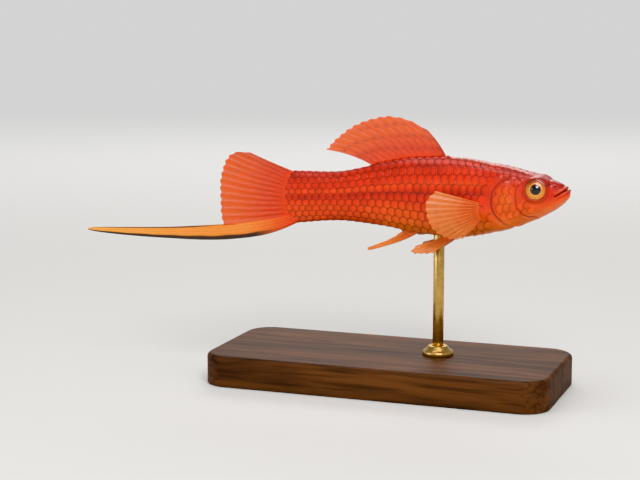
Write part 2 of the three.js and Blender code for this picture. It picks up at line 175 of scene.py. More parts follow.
_rings = [_ring(s) for s in S_TAB]
P_TAB = np.zeros((len(S_TAB), ROUND + 1, 3))
P_TAB[:, :, 0] = S_TAB[:, None]
P_TAB[:, :, 1] = [r[0] for r in _rings]
P_TAB[:, :, 2] = [r[1] for r in _rings]
GIRTH = np.array([r[2] for r in _rings])


def _normals(p):
    """Outward normals of a grid that closes round its second axis (first column repeated at the end)."""
    du = np.gradient(p, axis=0)
    q = np.concatenate([p[:, -2:-1], p, p[:, 1:2]], 1)
    dv = (q[:, 2:] - q[:, :-2]) / 2
    n = np.cross(du, dv)
    n /= np.maximum(np.linalg.norm(n, axis=2, keepdims=True), 1e-12)
    return n


N_TAB = _normals(P_TAB)
if N_TAB[150, 0, 2] < 0:
    N_TAB = -N_TAB


def _look_up(table, s, t):
    s, t = np.asarray(s, float), np.asarray(t, float) % 1.0
    i = np.clip(np.searchsorted(S_TAB, s) - 1, 0, len(S_TAB) - 2)
    fs = np.clip((s - S_TAB[i]) / (S_TAB[i + 1] - S_TAB[i]), 0, 1)[..., None]
    j = np.minimum((t * ROUND).astype(int), ROUND - 1)
    ft = (t * ROUND - j)[..., None]
    return (table[i, j] * (1 - ft) + table[i, j + 1] * ft) * (1 - fs) + (
        table[i + 1, j] * (1 - ft) + table[i + 1, j + 1] * ft
    ) * fs


def surf(s, t):
    p = _look_up(P_TAB, s, t)
    p[..., 0] = s
    n = _look_up(N_TAB, s, t)
    return p, n / np.maximum(np.linalg.norm(n, axis=-1, keepdims=True), 1e-9)


# ---- features of the head, in the (s, z) plane, the same on both sides --------------------------------------------
def curve_through(corners, per=12, closed=False):
    p = np.array(corners, float)
    n = len(p)
    out = []
    for i in range(n if closed else n - 1):
        a, b = p[i], p[(i + 1) % n]
        before = p[(i - 1) % n] if closed or i > 0 else 2 * a - b
        after = p[(i + 2) % n] if closed or i < n - 2 else 2 * b - a
        for k in range(per):
            t = k / per
            out.append(
                0.5
                * (
                    2 * a
                    + (b - before) * t
                    + (2 * before - 5 * a + 4 * b - after) * t * t
                    + (3 * a - before - 3 * b + after) * t**3
                )
            )
    out.append(p[0] if closed else p[-1])
    return np.array(out)


def distance_to(line, s, z):
    """Distance from points to a polyline, and which share of it is nearest."""
    best = np.full(np.shape(s), 1e9)
    where = np.zeros(np.shape(s))
    n = len(line) - 1
    for i in range(n):
        a, d = line[i], line[i + 1] - line[i]
        k = np.clip(((s - a[0]) * d[0] + (z - a[1]) * d[1]) / max(d @ d, 1e-12), 0, 1)
        r = np.hypot(s - a[0] - k * d[0], z - a[1] - k * d[1])
        near = r < best
        best = np.where(near, r, best)
        where = np.where(near, (i + k) / n, where)
    return best, where


def inside(outline, s, z):
    result = np.zeros(np.shape(s), bool)
    n = len(outline)
    for i in range(n):
        (x1, y1), (x2, y2) = outline[i], outline[(i + 1) % n]
        cross = ((y1 > z) != (y2 > z)) & (s < (x2 - x1) * (z - y1) / (y2 - y1 + 1e-12) + x1)
        result ^= cross
    return result


# the gill cover's free edge, from the top of the gill opening round the back and forward under the throat
COVER_EDGE = curve_through(
    [(11.9, 4.35), (13.7, 3.9), (15.2, 2.5), (15.95, 0.4), (15.75, -1.9), (14.6, -4.1), (12.6, -5.7), (10.2, -6.1), (7.9, -5.25)], 10
)
# the groove between the cheek and the gill cover
PREOPERCLE = curve_through([(10.3, 3.0), (10.75, 1.2), (10.7, -0.8), (10.0, -2.6), (8.7, -3.7), (7.0, -3.9)], 10)
SUBOPERCLE = curve_through([(10.9, -2.6), (12.6, -3.2), (14.4, -3.3)], 8)
COVER_AREA = np.vstack([COVER_EDGE, PREOPERCLE[::-1]])


def slit(s):
    return 2.15 - 0.62 * (s - 0.3)


def bump(x, w):
    return np.exp(-((x / w) ** 2))


PORES = [(4.75, 4.05), (5.9, 5.05), (8.4, 5.15), (10.3, 4.35), (11.15, 2.2), (11.45, 0.3), (11.15, -1.6), (9.9, -3.55), (8.2, -4.35), (5.6, -2.3), (4.3, -1.1), (4.0, 1.7), (6.4, -3.4)]


def relief(p):
    """How far the skin stands out from the smooth body, in millimetres, at points of its surface."""
    s, y, z = p[..., 0], np.abs(p[..., 1]), p[..., 2]
    d = np.zeros(np.shape(s))
    front = s < 19
    # mouth: the slit, its lips and the folds behind them
    r = (z - slit(s)) * 0.85
    here = step(3.0, 2.5, s) * step(-0.1, 0.12, s)
    d += here * (-0.5 * bump(r, 0.13) + 0.17 * bump(np.abs(r) - 0.42, 0.24))
    d += here * (-0.12 * bump(r - 1.0, 0.16) - 0.1 * bump(r + 0.98, 0.18))
    corner = np.hypot(s - 2.85, (z - float(slit(2.85))) * 1.0)
    d += -0.16 * bump(corner, 0.34) * (y > 0.8)
    # the fold behind the upper jaw's end, and the lower jaw's joint
    fold, share = distance_to(curve_through([(2.95, 1.3), (3.35, 0.2), (3.3, -0.9)], 6), s, z)
    d += -0.1 * bump(fold, 0.17) * (1 - 0.6 * share) * front
    # nostrils
    for ns, nz, nr, deep in ((2.75, 2.75, 0.17, 0.24), (3.95, 3.25, 0.22, 0.3)):
        q = np.hypot(s - ns, (z - nz) * 1.1)
        d += (-deep * bump(q, nr) + 0.07 * bump(q - 0.36, 0.14)) * (y > 0.7)
    for ps, pz in PORES:
        q = np.hypot(s - ps, z - pz)
        d += (-0.1 * bump(q, 0.13) + 0.03 * bump(q - 0.26, 0.1)) * (y > 0.7)
    # eye: the socket, its rim and the soft ring round it
    q = np.hypot(s - EYE_S, z - EYE_Z)
    rim = step(2.32, 2.12, q)
    d += -1.25 * rim + 0.13 * bump(q - 2.5, 0.2) - 0.05 * bump(q - 3.25, 0.2)
    # the crown is broad and flat between the eyes, so it carries on level from their upper rims
    d += 0.2 * bump(q - 3.1, 0.9) * step(2.7, 4.4, z) * step(0.8, 2.2, y)
    # brow: the head is flat above and a little hollow before the eye
    d += -0.12 * bump(np.hypot((s - 3.9) / 1.3, (z - 1.7) / 1.2), 1.0)
    d += 0.1 * bump(np.hypot((s - 6.6) / 2.6, (z - 4.75) / 0.5), 1.0)
    # bones under the eye, cheek and gill cover
    q = np.hypot((s - 7.6) / 3.0, (z + 1.6) / 1.4)
    d += 0.1 * bump(q, 1.0)
    q, share = distance_to(PREOPERCLE, s, z)
    d += front * (-0.13 * bump(q, 0.2) + 0.07 * bump(q - 0.45, 0.22))
    q, share = distance_to(SUBOPERCLE, s, z)
    d += front * -0.06 * bump(q, 0.16)
    cover = inside(COVER_AREA, s, z)
    q, share = distance_to(COVER_EDGE, s, z)
    fade = step(0.0, 0.12, share) * step(0.97, 0.72, share)
    d += np.where(cover & front, (0.12 + 0.1 * bump(q - 0.1, 0.5)) * step(0, 0.16, q) * fade, 0)
    behind = ~cover & (s > 9.5)
    d += np.where(behind & front, -0.34 * step(1.25, 0.0, q) * fade, 0)
    # throat: the gill skins meet under it in two soft folds
    under = step(-3.2, -4.6, z) * step(3.5, 6, s) * step(14.5, 11.5, s)
    d += -0.14 * under * bump(y - 0.62, 0.2) + 0.05 * under * bump(y - 1.1, 0.26)
    # fleshy roots of the fins
    top = step(25.6, 27.4, s) * step(45.0, 42.8, s)
    d += 0.42 * top * bump(y, 0.75) * (z > 2)
    low = step(32.0, 33.2, s) * step(38.8, 37.2, s)
    d += 0.36 * low * bump(y, 0.8) * (z < -2)
    d += 0.75 * bump(np.hypot((s - 17.9) / 1.3, (z + 2.4) / 1.8), 1.0)
    d += 0.3 * bump(np.hypot((s - 24.8) / 1.5, (y - 2.0) / 0.9), 1.0) * (z < -5)
    d += -0.22 * bump(np.hypot(s - 31.9, y), 0.4) * (z < 0)
    return d


def coat_depth(p):
    """How deep the skin lies under the solids: less where there are no scales."""
    s, z = p[..., 0], p[..., 2]
    return lerp(0.05, 0.2, step(15.0, 17.5, s)) * step(0.0, 0.6, s)


# ---- colours, as functions of the place on the fish ---------------------------------------------------------------
RED = np.array([0.58, 0.026, 0.004])
DEEP = np.array([0.30, 0.010, 0.003])
ORANGE = np.array([0.74, 0.085, 0.009])
PALE = np.array([0.80, 0.185, 0.045])
GOLD = np.array([0.80, 0.19, 0.022])
# near-black red: the dusky pigment dots, and painted shade in the mouth slit, nostrils, eye socket, gill opening and
# the inner lip of the fold round the eye
DUSKY_PIGMENT_AND_PAINTED_SHADE = np.array([0.10, 0.012, 0.008])


def blend(a, b, k):
    k = np.asarray(k)[..., None]
    return a * (1 - k) + b * k


def wave(s, z, f, seed):
    """Soft seeded mottling between about -1 and 1."""
    g = np.random.default_rng(seed)
    out = 0
    for _ in range(5):
        a, b, c = g.uniform(0.4, 1.3, 2), g.uniform(0, 6.28), g.choice([-1, 1])
        out = out + np.sin(f * (a[0] * s + c * a[1] * z) + b)
    return out / 3


_dots = np.random.default_rng(23)
DOT_CELL = 0.62
DOT_TABLE = _dots.uniform(0, 1, (61, 61, 3))


def speckle(a, b):
    """One small round dot in each cell of a jittered net, 1 at its middle; a and b are millimetres along and across."""
    a, b = np.asarray(a, float) / DOT_CELL, np.asarray(b, float) / DOT_CELL
    best = np.zeros(np.broadcast(a, b).shape)
    for da in (-1, 0, 1):
        for db in (-1, 0, 1):
            i, j = np.floor(a).astype(int) + da, np.floor(b).astype(int) + db
            g = DOT_TABLE[i % 61, j % 61]
            q = np.hypot(a - i - 0.15 - 0.7 * g[..., 0], b - j - 0.15 - 0.7 * g[..., 1])
            best = np.maximum(best, step(0.34, 0.12, q) * (0.3 + 0.7 * g[..., 2]))
    return best


def body_colour(p):
    s, y, z = p[..., 0], np.abs(p[..., 1]), p[..., 2]
    top, low = back_of(s), belly_of(s)
    h = np.clip((z - low) / (top - low), 0, 1)
    c = blend(PALE, ORANGE, step(0.02, 0.26, h + 0.02 * wave(s, z, 0.5, 1)))
    c = blend(c, RED, step(0.2, 0.5, h + 0.03 * wave(s, z, 0.4, 2)))
    c = blend(c, DEEP, 0.75 * step(0.72, 1.0, h + 0.03 * wave(s, z, 0.5, 3)))
    # the belly is palest under the breast, and the tail stem is red right round
    c = blend(c, RED, 0.75 * step(34, 48, s) * step(0.5, 0.1, h))
    # a narrow darker red stripe along the middle of the side, and a paler one over it
    mid = lerp(0.60, 0.50, step(16, 60, s))
    c = blend(c, DEEP, 0.55 * bump(h - mid, 0.035) * step(15, 20, s))
    c = blend(c, ORANGE, 0.4 * bump(h - mid - 0.105, 0.04) * step(15, 20, s))
    # head: dusky crown and snout, golden cheeks and gill covers, pale throat
    head = step(17, 12, s)
    c = blend(c, DEEP, 0.65 * head * step(0.66, 0.92, h))
    c = blend(c, GOLD, 0.42 * bump(np.hypot((s - 12.8) / 2.6, (z + 0.2) / 2.8), 1.0))
    c = blend(c, ORANGE, 0.6 * bump(np.hypot((s - 8.2) / 2.6, (z + 1.6) / 1.5), 1.0))
    c = blend(c, PALE, 0.6 * head * step(0.3, 0.1, h))
    # dusky pigment is scattered in fine dots over the crown and the back
    dots = np.clip(speckle(s, np.arctan2(p[..., 1], z + 3.0) * 8.0), 0, 1)
    c = blend(c, DUSKY_PIGMENT_AND_PAINTED_SHADE, 0.5 * dots * step(0.6, 0.95, h) * lerp(0.55, 1.0, head))
    c = blend(c, DEEP, 0.5 * step(4.2, 1.5, s) * step(0.35, 0.8, h))
    r = (z - slit(s)) * 0.85
    lips = step(3.1, 2.5, s)
    c = blend(c, ORANGE, 0.35 * lips * bump(np.abs(r) - 0.45, 0.25))
    # painted shade: the mouth slit, a groove in the relief, is painted near black
    c = blend(c, DUSKY_PIGMENT_AND_PAINTED_SHADE, 0.9 * lips * bump(r, 0.13))
    # painted shade: the nostril pits are painted dark
    for ns, nz in ((2.75, 2.75), (3.95, 3.25)):
        c = blend(c, DUSKY_PIGMENT_AND_PAINTED_SHADE, 0.8 * bump(np.hypot(s - ns, z - nz), 0.2) * (y > 0.7))
    q = np.hypot(s - EYE_S, z - EYE_Z)
    c = blend(c, DEEP, 0.6 * bump(q - 2.55, 0.3))
    # painted shade: the sunken eye socket round the eyeball is painted near black
    c = blend(c, DUSKY_PIGMENT_AND_PAINTED_SHADE, 0.95 * step(2.4, 2.15, q) * (y > 1))
    # painted shade: the groove between cheek and gill cover is painted darker red
    q, _ = distance_to(PREOPERCLE, s, z)
    c = blend(c, DEEP, 0.55 * bump(q, 0.24) * (s < 19))
    # painted shade: the sunken skin under the gill cover's free edge, the gill opening, is painted near black
    q, share = distance_to(COVER_EDGE, s, z)
    cover = inside(COVER_AREA, s, z)
    c = blend(c, DUSKY_PIGMENT_AND_PAINTED_SHADE, np.where(~cover & (s > 9.5) & (s < 19), 0.85 * step(0.55, 0.0, q) * step(0, 0.1, share) * step(1, 0.88, share), 0))
    return np.clip(c * (1 + 0.05 * wave(s, z, 1.7, 5))[..., None], 0, 1)


# ---- making meshes ----------------------------------------------------------------------------------------------
def make_mesh(name, verts, quads, material, colour=None, alpha=None, uv=None, tris=None):
    """A smooth mesh object from arrays: world-frame vertices in metres, quads and triangles, colour by vertex, uv by loop."""
    verts = np.asarray(verts, np.float32)
    quads = np.zeros((0, 4), np.int32) if quads is None else np.asarray(quads, np.int32)
    tris = np.zeros((0, 3), np.int32) if tris is None else np.asarray(tris, np.int32)
    me = bpy.data.meshes.new(name)
    loops = np.concatenate([quads.ravel(), tris.ravel()])
    me.vertices.add(len(verts))
    me.vertices.foreach_set("co", verts.ravel())
    me.loops.add(len(loops))
    me.loops.foreach_set("vertex_index", loops)
    me.polygons.add(len(quads) + len(tris))
    start = np.concatenate([np.arange(len(quads)) * 4, len(quads) * 4 + np.arange(len(tris)) * 3])
    me.polygons.foreach_set("loop_start", start.astype(np.int32))
    me.update(calc_edges=True)
    me.validate()
    me.shade_smooth()
    if colour is not None:
        rgba = np.ones((len(verts), 4), np.float32)
        rgba[:, :3] = colour
        if alpha is not None:
            rgba[:, 3] = alpha
        a = me.attributes.new("tint", "FLOAT_COLOR", "POINT")
        a.data.foreach_set("color", rgba.ravel())
        b = me.attributes.new("cover", "FLOAT", "POINT")
        b.data.foreach_set("value", rgba[:, 3].copy())
    if uv is not None:
        layer = me.uv_layers.new(name="OFBake")
        layer.data.foreach_set("uv", np.clip(np.asarray(uv, np.float32), 0, 1).ravel())
    me.materials.append(material)
    o = bpy.data.objects.new(name, me)
    bpy.context.scene.collection.objects.link(o)
    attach(o, "root")
    return o


def grid_quads(nu, nv, flip=False, offset=0):
    i, j = np.meshgrid(np.arange(nu - 1), np.arange(nv - 1), indexing="ij")
    a = i * nv + j
    q = np.stack([a, a + nv, a + nv + 1, a + 1], -1).reshape(-1, 4)
    return (q[:, ::-1] if flip else q) + offset


def sheet_mesh(mid, thick, colour, alpha=None):
    """A closed thin plate round a grid of mid points (nu, nv, 3) in straight millimetres, with per-point thickness."""
    nu, nv = mid.shape[:2]
    n = np.cross(np.gradient(mid, axis=0), np.gradient(mid, axis=1))
    n /= np.maximum(np.linalg.norm(n, axis=2, keepdims=True), 1e-12)
    a = world(mid + n * thick[..., None] / 2).reshape(-1, 3)
    b = world(mid - n * thick[..., None] / 2).reshape(-1, 3)
    k = nu * nv
    quads = [grid_quads(nu, nv, False), grid_quads(nu, nv, True, k)]
    ring = np.concatenate(
        [
            np.arange(nv),
            np.arange(1, nu) * nv + nv - 1,
            (nu - 1) * nv + np.arange(nv - 2, -1, -1),
            np.arange(nu - 2, 0, -1) * nv,
        ]
    )
    nxt = np.roll(ring, -1)
    quads.append(np.stack([ring, nxt, nxt + k, ring + k], -1))
    quads = np.vstack(quads)
    verts = np.vstack([a, b])
    uu, vv = np.meshgrid(np.linspace(0, 1, nu), np.linspace(0, 1, nv), indexing="ij")
    flat = np.stack([uu.ravel(), vv.ravel()], -1)
    per = np.vstack([flat * [0.46, 0.96] + [0.02, 0.02], flat * [0.46, 0.96] + [0.52, 0.02]])
    uv = per[quads]
    edge = len(quads) - len(ring)
    uv[edge:, 2] = uv[edge:, 1] + [0.004, 0.0]
    uv[edge:, 3] = uv[edge:, 0] + [0.004, 0.0]
    # outwards: world() mirrors the straight frame, so the turn is read off the finished vertices
    e1 = verts[quads[0, 1]] - verts[quads[0, 0]]
    e2 = verts[quads[0, 3]] - verts[quads[0, 0]]
    out = (a[0] - b[0]) @ np.cross(e1, e2)
    if out < 0:
        quads, uv = quads[:, ::-1], uv[:, ::-1]
    col = np.vstack([colour.reshape(-1, 3)] * 2)
    al = None if alpha is None else np.concatenate([alpha.ravel()] * 2)
    return verts, quads, uv.reshape(-1, 2), col, al


def tubes_mesh(tubes, sides=8):
    """Joined closed tubes. Each is (path (n,3) straight mm, normals (n,3), r_out (n,), r_in (n,), colour (n,3))."""
    V, Q, T, UQ, UT, C = [], [], [], [], [], []
    base = 0
    count = len(tubes)
    ang = np.arange(sides) / sides * 2 * math.pi
    for k, (path, normal, r1, r2, colour) in enumerate(tubes):
        n = len(path)
        tangent = np.gradient(path, axis=0)
        tangent /= np.maximum(np.linalg.norm(tangent, axis=1, keepdims=True), 1e-12)
        nn = normal - tangent * np.sum(normal * tangent, 1, keepdims=True)
        nn /= np.maximum(np.linalg.norm(nn, axis=1, keepdims=True), 1e-12)
        bb = np.cross(tangent, nn)
        ring = (
            path[:, None]
            + nn[:, None] * (np.cos(ang)[None, :, None] * r1[:, None, None])
            + bb[:, None] * (np.sin(ang)[None, :, None] * r2[:, None, None])
        )
        V.append(world(ring).reshape(-1, 3))
        V.append(world(path[[0, -1]]))
        i, j = np.meshgrid(np.arange(n - 1), np.arange(sides), indexing="ij")
        j2 = (j + 1) % sides
        q = np.stack([i * sides + j, (i + 1) * sides + j, (i + 1) * sides + j2, i * sides + j2], -1).reshape(-1, 4)
        Q.append(q + base)
        v0, v1 = (k + 0.15) / count, (k + 0.85) / count
        u = 0.01 + 0.98 * np.linspace(0, 1, n)
        us = np.stack([u[i], u[i + 1], u[i + 1], u[i]], -1).reshape(-1, 4)
        vs = v0 + (v1 - v0) * np.stack([j, j, j + 1, j + 1], -1).reshape(-1, 4) / sides
        UQ.append(np.stack([us, vs], -1))
        c0, c1 = n * sides, n * sides + 1
        j = np.arange(sides)
        t0 = np.stack([np.full(sides, c0), j, (j + 1) % sides], -1)
        t1 = np.stack([np.full(sides, c1), (n - 1) * sides + (j + 1) % sides, (n - 1) * sides + j], -1)
        T.append(np.vstack([t0, t1]) + base)
        mid = (v0 + v1) / 2
        u0 = np.tile([[u[0], mid], [u[0], mid], [u[0], mid]], (sides, 1)).reshape(sides, 3, 2)
        u1 = np.tile([[u[-1], mid], [u[-1], mid], [u[-1], mid]], (sides, 1)).reshape(sides, 3, 2)
        UT.append(np.vstack([u0, u1]))
        C.append(np.repeat(colour, sides, 0))
        C.append(colour[[0, -1]])
        base += n * sides + 2
    V, Q, T, C = np.vstack(V), np.vstack(Q), np.vstack(T), np.vstack(C)
    UQ, UT = np.vstack(UQ), np.vstack(UT)
    # outwards, read off the first tube's second ring
    c = V[sides : 2 * sides].mean(0)
    q = Q[sides]
    out = np.cross(V[q[1]] - V[q[0]], V[q[3]] - V[q[0]]) @ (V[q].mean(0) - c)
    if out < 0:
        Q, T, UQ, UT = Q[:, ::-1], T[:, ::-1], UQ[:, ::-1], UT[:, ::-1]
    return V, Q, T, np.vstack([UQ.reshape(-1, 2), UT.reshape(-1, 2)]), C


# ---- materials ----------------------------------------------------------------------------------------------------
def new_material(name):
    m = bpy.data.materials.new(name)
    m.use_nodes = True
    t = m.node_tree
    return m, t, t.nodes["Principled BSDF"]


def tinted(name, roughness, coat=0.0, coat_rough=0.1, noise=0.06, noise_scale=900, bump_strength=0.0, bump_scale=1500,
           subsurface=0.0, alpha=False, metallic=0.0, rough_var=0.0):
    """Colour from the function-made tint, varied by fine noise."""
    m, t, bsdf = new_material(name)
    tint = t.nodes.new("ShaderNodeAttribute")
    tint.attribute_name = "tint"
    place = t.nodes.new("ShaderNodeTexCoord")
    grain = t.nodes.new("ShaderNodeTexNoise")
    grain.inputs["Scale"].default_value = noise_scale
    grain.inputs["Detail"].default_value = 3
    t.links.new(place.outputs["Object"], grain.inputs["Vector"])
    spread = t.nodes.new("ShaderNodeMapRange")
    spread.inputs["From Min"].default_value = 0.3
    spread.inputs["From Max"].default_value = 0.7
    spread.inputs["To Min"].default_value = 1 - noise
    spread.inputs["To Max"].default_value = 1 + noise
    t.links.new(grain.outputs["Fac"], spread.inputs["Value"])
    scale = t.nodes.new("ShaderNodeVectorMath")
    scale.operation = "SCALE"
    t.links.new(tint.outputs["Color"], scale.inputs[0])
    t.links.new(spread.outputs["Result"], scale.inputs["Scale"])
    t.links.new(scale.outputs["Vector"], bsdf.inputs["Base Color"])
    bsdf.inputs["Roughness"].default_value = roughness
    if rough_var:
        r = t.nodes.new("ShaderNodeMapRange")
        r.inputs["From Min"].default_value = 0.3
        r.inputs["From Max"].default_value = 0.7
        r.inputs["To Min"].default_value = roughness - rough_var
        r.inputs["To Max"].default_value = roughness + rough_var
        t.links.new(grain.outputs["Fac"], r.inputs["Value"])
        t.links.new(r.outputs["Result"], bsdf.inputs["Roughness"])
    bsdf.inputs["Metallic"].default_value = metallic
    bsdf.inputs["Coat Weight"].default_value = coat
    bsdf.inputs["Coat Roughness"].default_value = coat_rough
    if subsurface:
        bsdf.inputs["Subsurface Weight"].default_value = subsurface
        bsdf.inputs["Subsurface Radius"].default_value = (1.0, 0.35, 0.15)
        bsdf.inputs["Subsurface Scale"].default_value = 0.0012
    if bump_strength:
        fine = t.nodes.new("ShaderNodeTexNoise")
        fine.inputs["Scale"].default_value = bump_scale
        fine.inputs["Detail"].default_value = 2
        t.links.new(place.outputs["Object"], fine.inputs["Vector"])
        b = t.nodes.new("ShaderNodeBump")
        b.inputs["Strength"].default_value = bump_strength
        b.inputs["Distance"].default_value = 0.0002
        t.links.new(fine.outputs["Fac"], b.inputs["Height"])
        t.links.new(b.outputs["Normal"], bsdf.inputs["Normal"])
    if alpha:
        cover = t.nodes.new("ShaderNodeAttribute")
        cover.attribute_name = "cover"
        t.links.new(cover.outputs["Fac"], bsdf.inputs["Alpha"])
    return m


SKIN = tinted("fish_skin", 0.40, coat=0.22, coat_rough=0.16, noise=0.10, noise_scale=2200, bump_strength=0.3, subsurface=0.08, rough_var=0.06)
SCALES = tinted("fish_scales", 0.36, coat=0.22, coat_rough=0.15, noise=0.07, noise_scale=2400, bump_strength=0.18, subsurface=0.05, metallic=0.22, rough_var=0.06)
MEMBRANE = tinted("fin_membrane", 0.38, coat=0.3, coat_rough=0.2, noise=0.08, noise_scale=700, bump_strength=0.1, alpha=True)
RAYS = tinted("fin_rays", 0.42, coat=0.3, coat_rough=0.2, noise=0.06, noise_scale=1200)
SWORD = tinted("sword_skin", 0.36, coat=0.4, coat_rough=0.18, noise=0.07, noise_scale=1100, bump_strength=0.12)
IRIS = tinted("eye_iris", 0.35, coat=1.0, coat_rough=0.05, noise=0.16, noise_scale=2600, metallic=0.3)

PUPIL, _t, _b = new_material("eye_pupil")
_b.inputs["Base Color"].default_value = (0.004, 0.004, 0.005, 1)
_b.inputs["Roughness"].default_value = 0.06
_b.inputs["Coat Weight"].default_value = 1.0
_b.inputs["Coat Roughness"].default_value = 0.02

# ---- skin -----------------------------------------------------------------------------------------------------------
p = P_TAB[:, :-1]
n = N_TAB[:, :-1]
skin_pos = p + n * (relief(p) - coat_depth(p))[..., None]
ns_ = len(S_TAB)
verts = world(skin_pos).reshape(-1, 3)
tips = world(np.array([[skin_pos[0, :, 0].mean() - 0.02, 0, skin_pos[0, :, 2].mean()], [skin_pos[-1, :, 0].mean() + 0.002, 0, skin_pos[-1, :, 2].mean()]]))
i, j = np.meshgrid(np.arange(ns_ - 1), np.arange(ROUND), indexing="ij")
j2 = (j + 1) % ROUND
quads = np.stack([i * ROUND + j, (i + 1) * ROUND + j, (i + 1) * ROUND + j2, i * ROUND + j2], -1).reshape(-1, 4)
U = 0.01 + 0.98 * np.linspace(0, 1, ns_)
uvq = np.stack(
    [
        np.stack([U[i], U[i + 1], U[i + 1], U[i]], -1),
        0.005 + 0.99 * np.stack([j, j, j + 1, j + 1], -1) / ROUND,
    ],
    -1,
).reshape(-1, 4, 2)
k = ns_ * ROUND
j = np.arange(ROUND)
t0 = np.stack([np.full(ROUND, k), j, (j + 1) % ROUND], -1)
t1 = np.stack([np.full(ROUND, k + 1), (ns_ - 1) * ROUND + (j + 1) % ROUND, (ns_ - 1) * ROUND + j], -1)
tris = np.vstack([t0, t1])
uvt = np.zeros((2 * ROUND, 3, 2))
uvt[:ROUND, 0] = np.stack([np.full(ROUND, 0.004), 0.005 + 0.99 * (j + 0.5) / ROUND], -1)
uvt[:ROUND, 1] = np.stack([np.full(ROUND, U[0]), 0.005 + 0.99 * j / ROUND], -1)
uvt[:ROUND, 2] = np.stack([np.full(ROUND, U[0]), 0.005 + 0.99 * (j + 1) / ROUND], -1)
uvt[ROUND:, 0] = np.stack([np.full(ROUND, 0.996), 0.005 + 0.99 * (j + 0.5) / ROUND], -1)
uvt[ROUND:, 1] = np.stack([np.full(ROUND, U[-1]), 0.005 + 0.99 * (j + 1) / ROUND], -1)
uvt[ROUND:, 2] = np.stack([np.full(ROUND, U[-1]), 0.005 + 0.99 * j / ROUND], -1)
allv = np.vstack([verts, tips])
q = quads[150 * ROUND]
if np.cross(allv[q[1]] - allv[q[0]], allv[q[3]] - allv[q[0]])[2] < 0:
    quads, tris, uvq, uvt = quads[:, ::-1], tris[:, ::-1], uvq[:, ::-1], uvt[:, ::-1]
col = body_colour(p).reshape(-1, 3)
col = np.vstack([col, col[:ROUND].mean(0), col[-ROUND:].mean(0)])
skin = make_mesh("skin", allv, quads, SKIN, col, uv=np.vstack([uvq.reshape(-1, 2), uvt.reshape(-1, 2)]), tris=tris)
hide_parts("head", "lower_jaw", "trunk", "tail_stem", "gill_cover_left", "gill_cover_right")

# ---- scales -----------------------------------------------------------------------------------------------------------
ROWS = 20  # rows of scales right round the body
PLATE_U = np.array([-1, -0.72, -0.42, -0.12, 0.18, 0.46, 0.68, 0.84, 1.0])
PLATE_V = np.array([-1, -0.84, -0.6, -0.3, 0, 0.3, 0.6, 0.84, 1.0])
_pu, _pv = np.meshgrid(PLATE_U, PLATE_V, indexing="ij")
PX = _pu * np.sqrt(1 - _pv**2 / 2)
PY = _pv * np.sqrt(1 - _pu**2 / 2)
PR = np.hypot(PX, PY)


def spacing(s):
    return lerp(1.45, 1.8, step(14, 24, s)) * lerp(1.0, 0.86, step(48, 62, s))


def lattice():
    """Roots of the scales: (s, t), staggered row by row."""
    found = []
    columns = [5.4]
    while columns[-1] < 63.6:
        columns.append(columns[-1] + 0.5 * float(spacing(columns[-1])))
    for c, s in enumerate(columns):
        for r in range(ROWS):
            if (r + c) % 2:
                continue
            found.append((s, r / ROWS))
    return found


def scale_fits(s, t):
    """0 where no scale grows, else how tall the scale's free edge stands."""
    pos, _ = surf(np.array([s]), np.array([t]))
    y, z = abs(pos[0, 1]), pos[0, 2]
    e = math.hypot(s - EYE_S, z - EYE_Z)
    if e < 3.5 and y > 1.0:
        return 0
    if s < 16.3:
        h = (z - float(belly_of(s))) / float(back_of(s) - belly_of(s))
        if h < 0.2 or s < 5.6:
            return 0
        if s < 9 and z > 0.8 and y > 1.2 and z < 4.2:
            return 0
        edge, share = distance_to(COVER_EDGE, np.array([s]), np.array([z]))
        if edge[0] < 0.75 and z < 4.3:
            return 0
        groove, _ = distance_to(PREOPERCLE, np.array([s]), np.array([z]))
        if groove[0] < 0.5:
            return 0
        if s < 6.8 and z < 4:
            return 0
        covered = bool(inside(COVER_AREA, np.array([s]), np.array([z]))[0])
        if not covered and s > 11 and z < 3.8 and s < 16.0:
            return 0
        return 0.55 + 0.2 * float(step(10, 16, s)) * (z > 3.5)
    edge, share = distance_to(COVER_EDGE, np.array([s]), np.array([z]))
    if edge[0] < 0.3 and share[0] > 0.15:
        return 0
    if math.hypot((s - 17.9) / 1.25, (z + 2.4) / 1.75) < 1.0:
        return 0
    # the last scales run out over the roots of the tail fin's rays in a rounded edge
    if s > 63.3 - 0.03 * (z + 0.2) ** 2:
        return 0
    return float(lerp(1.0, 0.45, step(60.5, 63.4, s)) * lerp(0.72, 1.0, step(15.5, 19, s)))


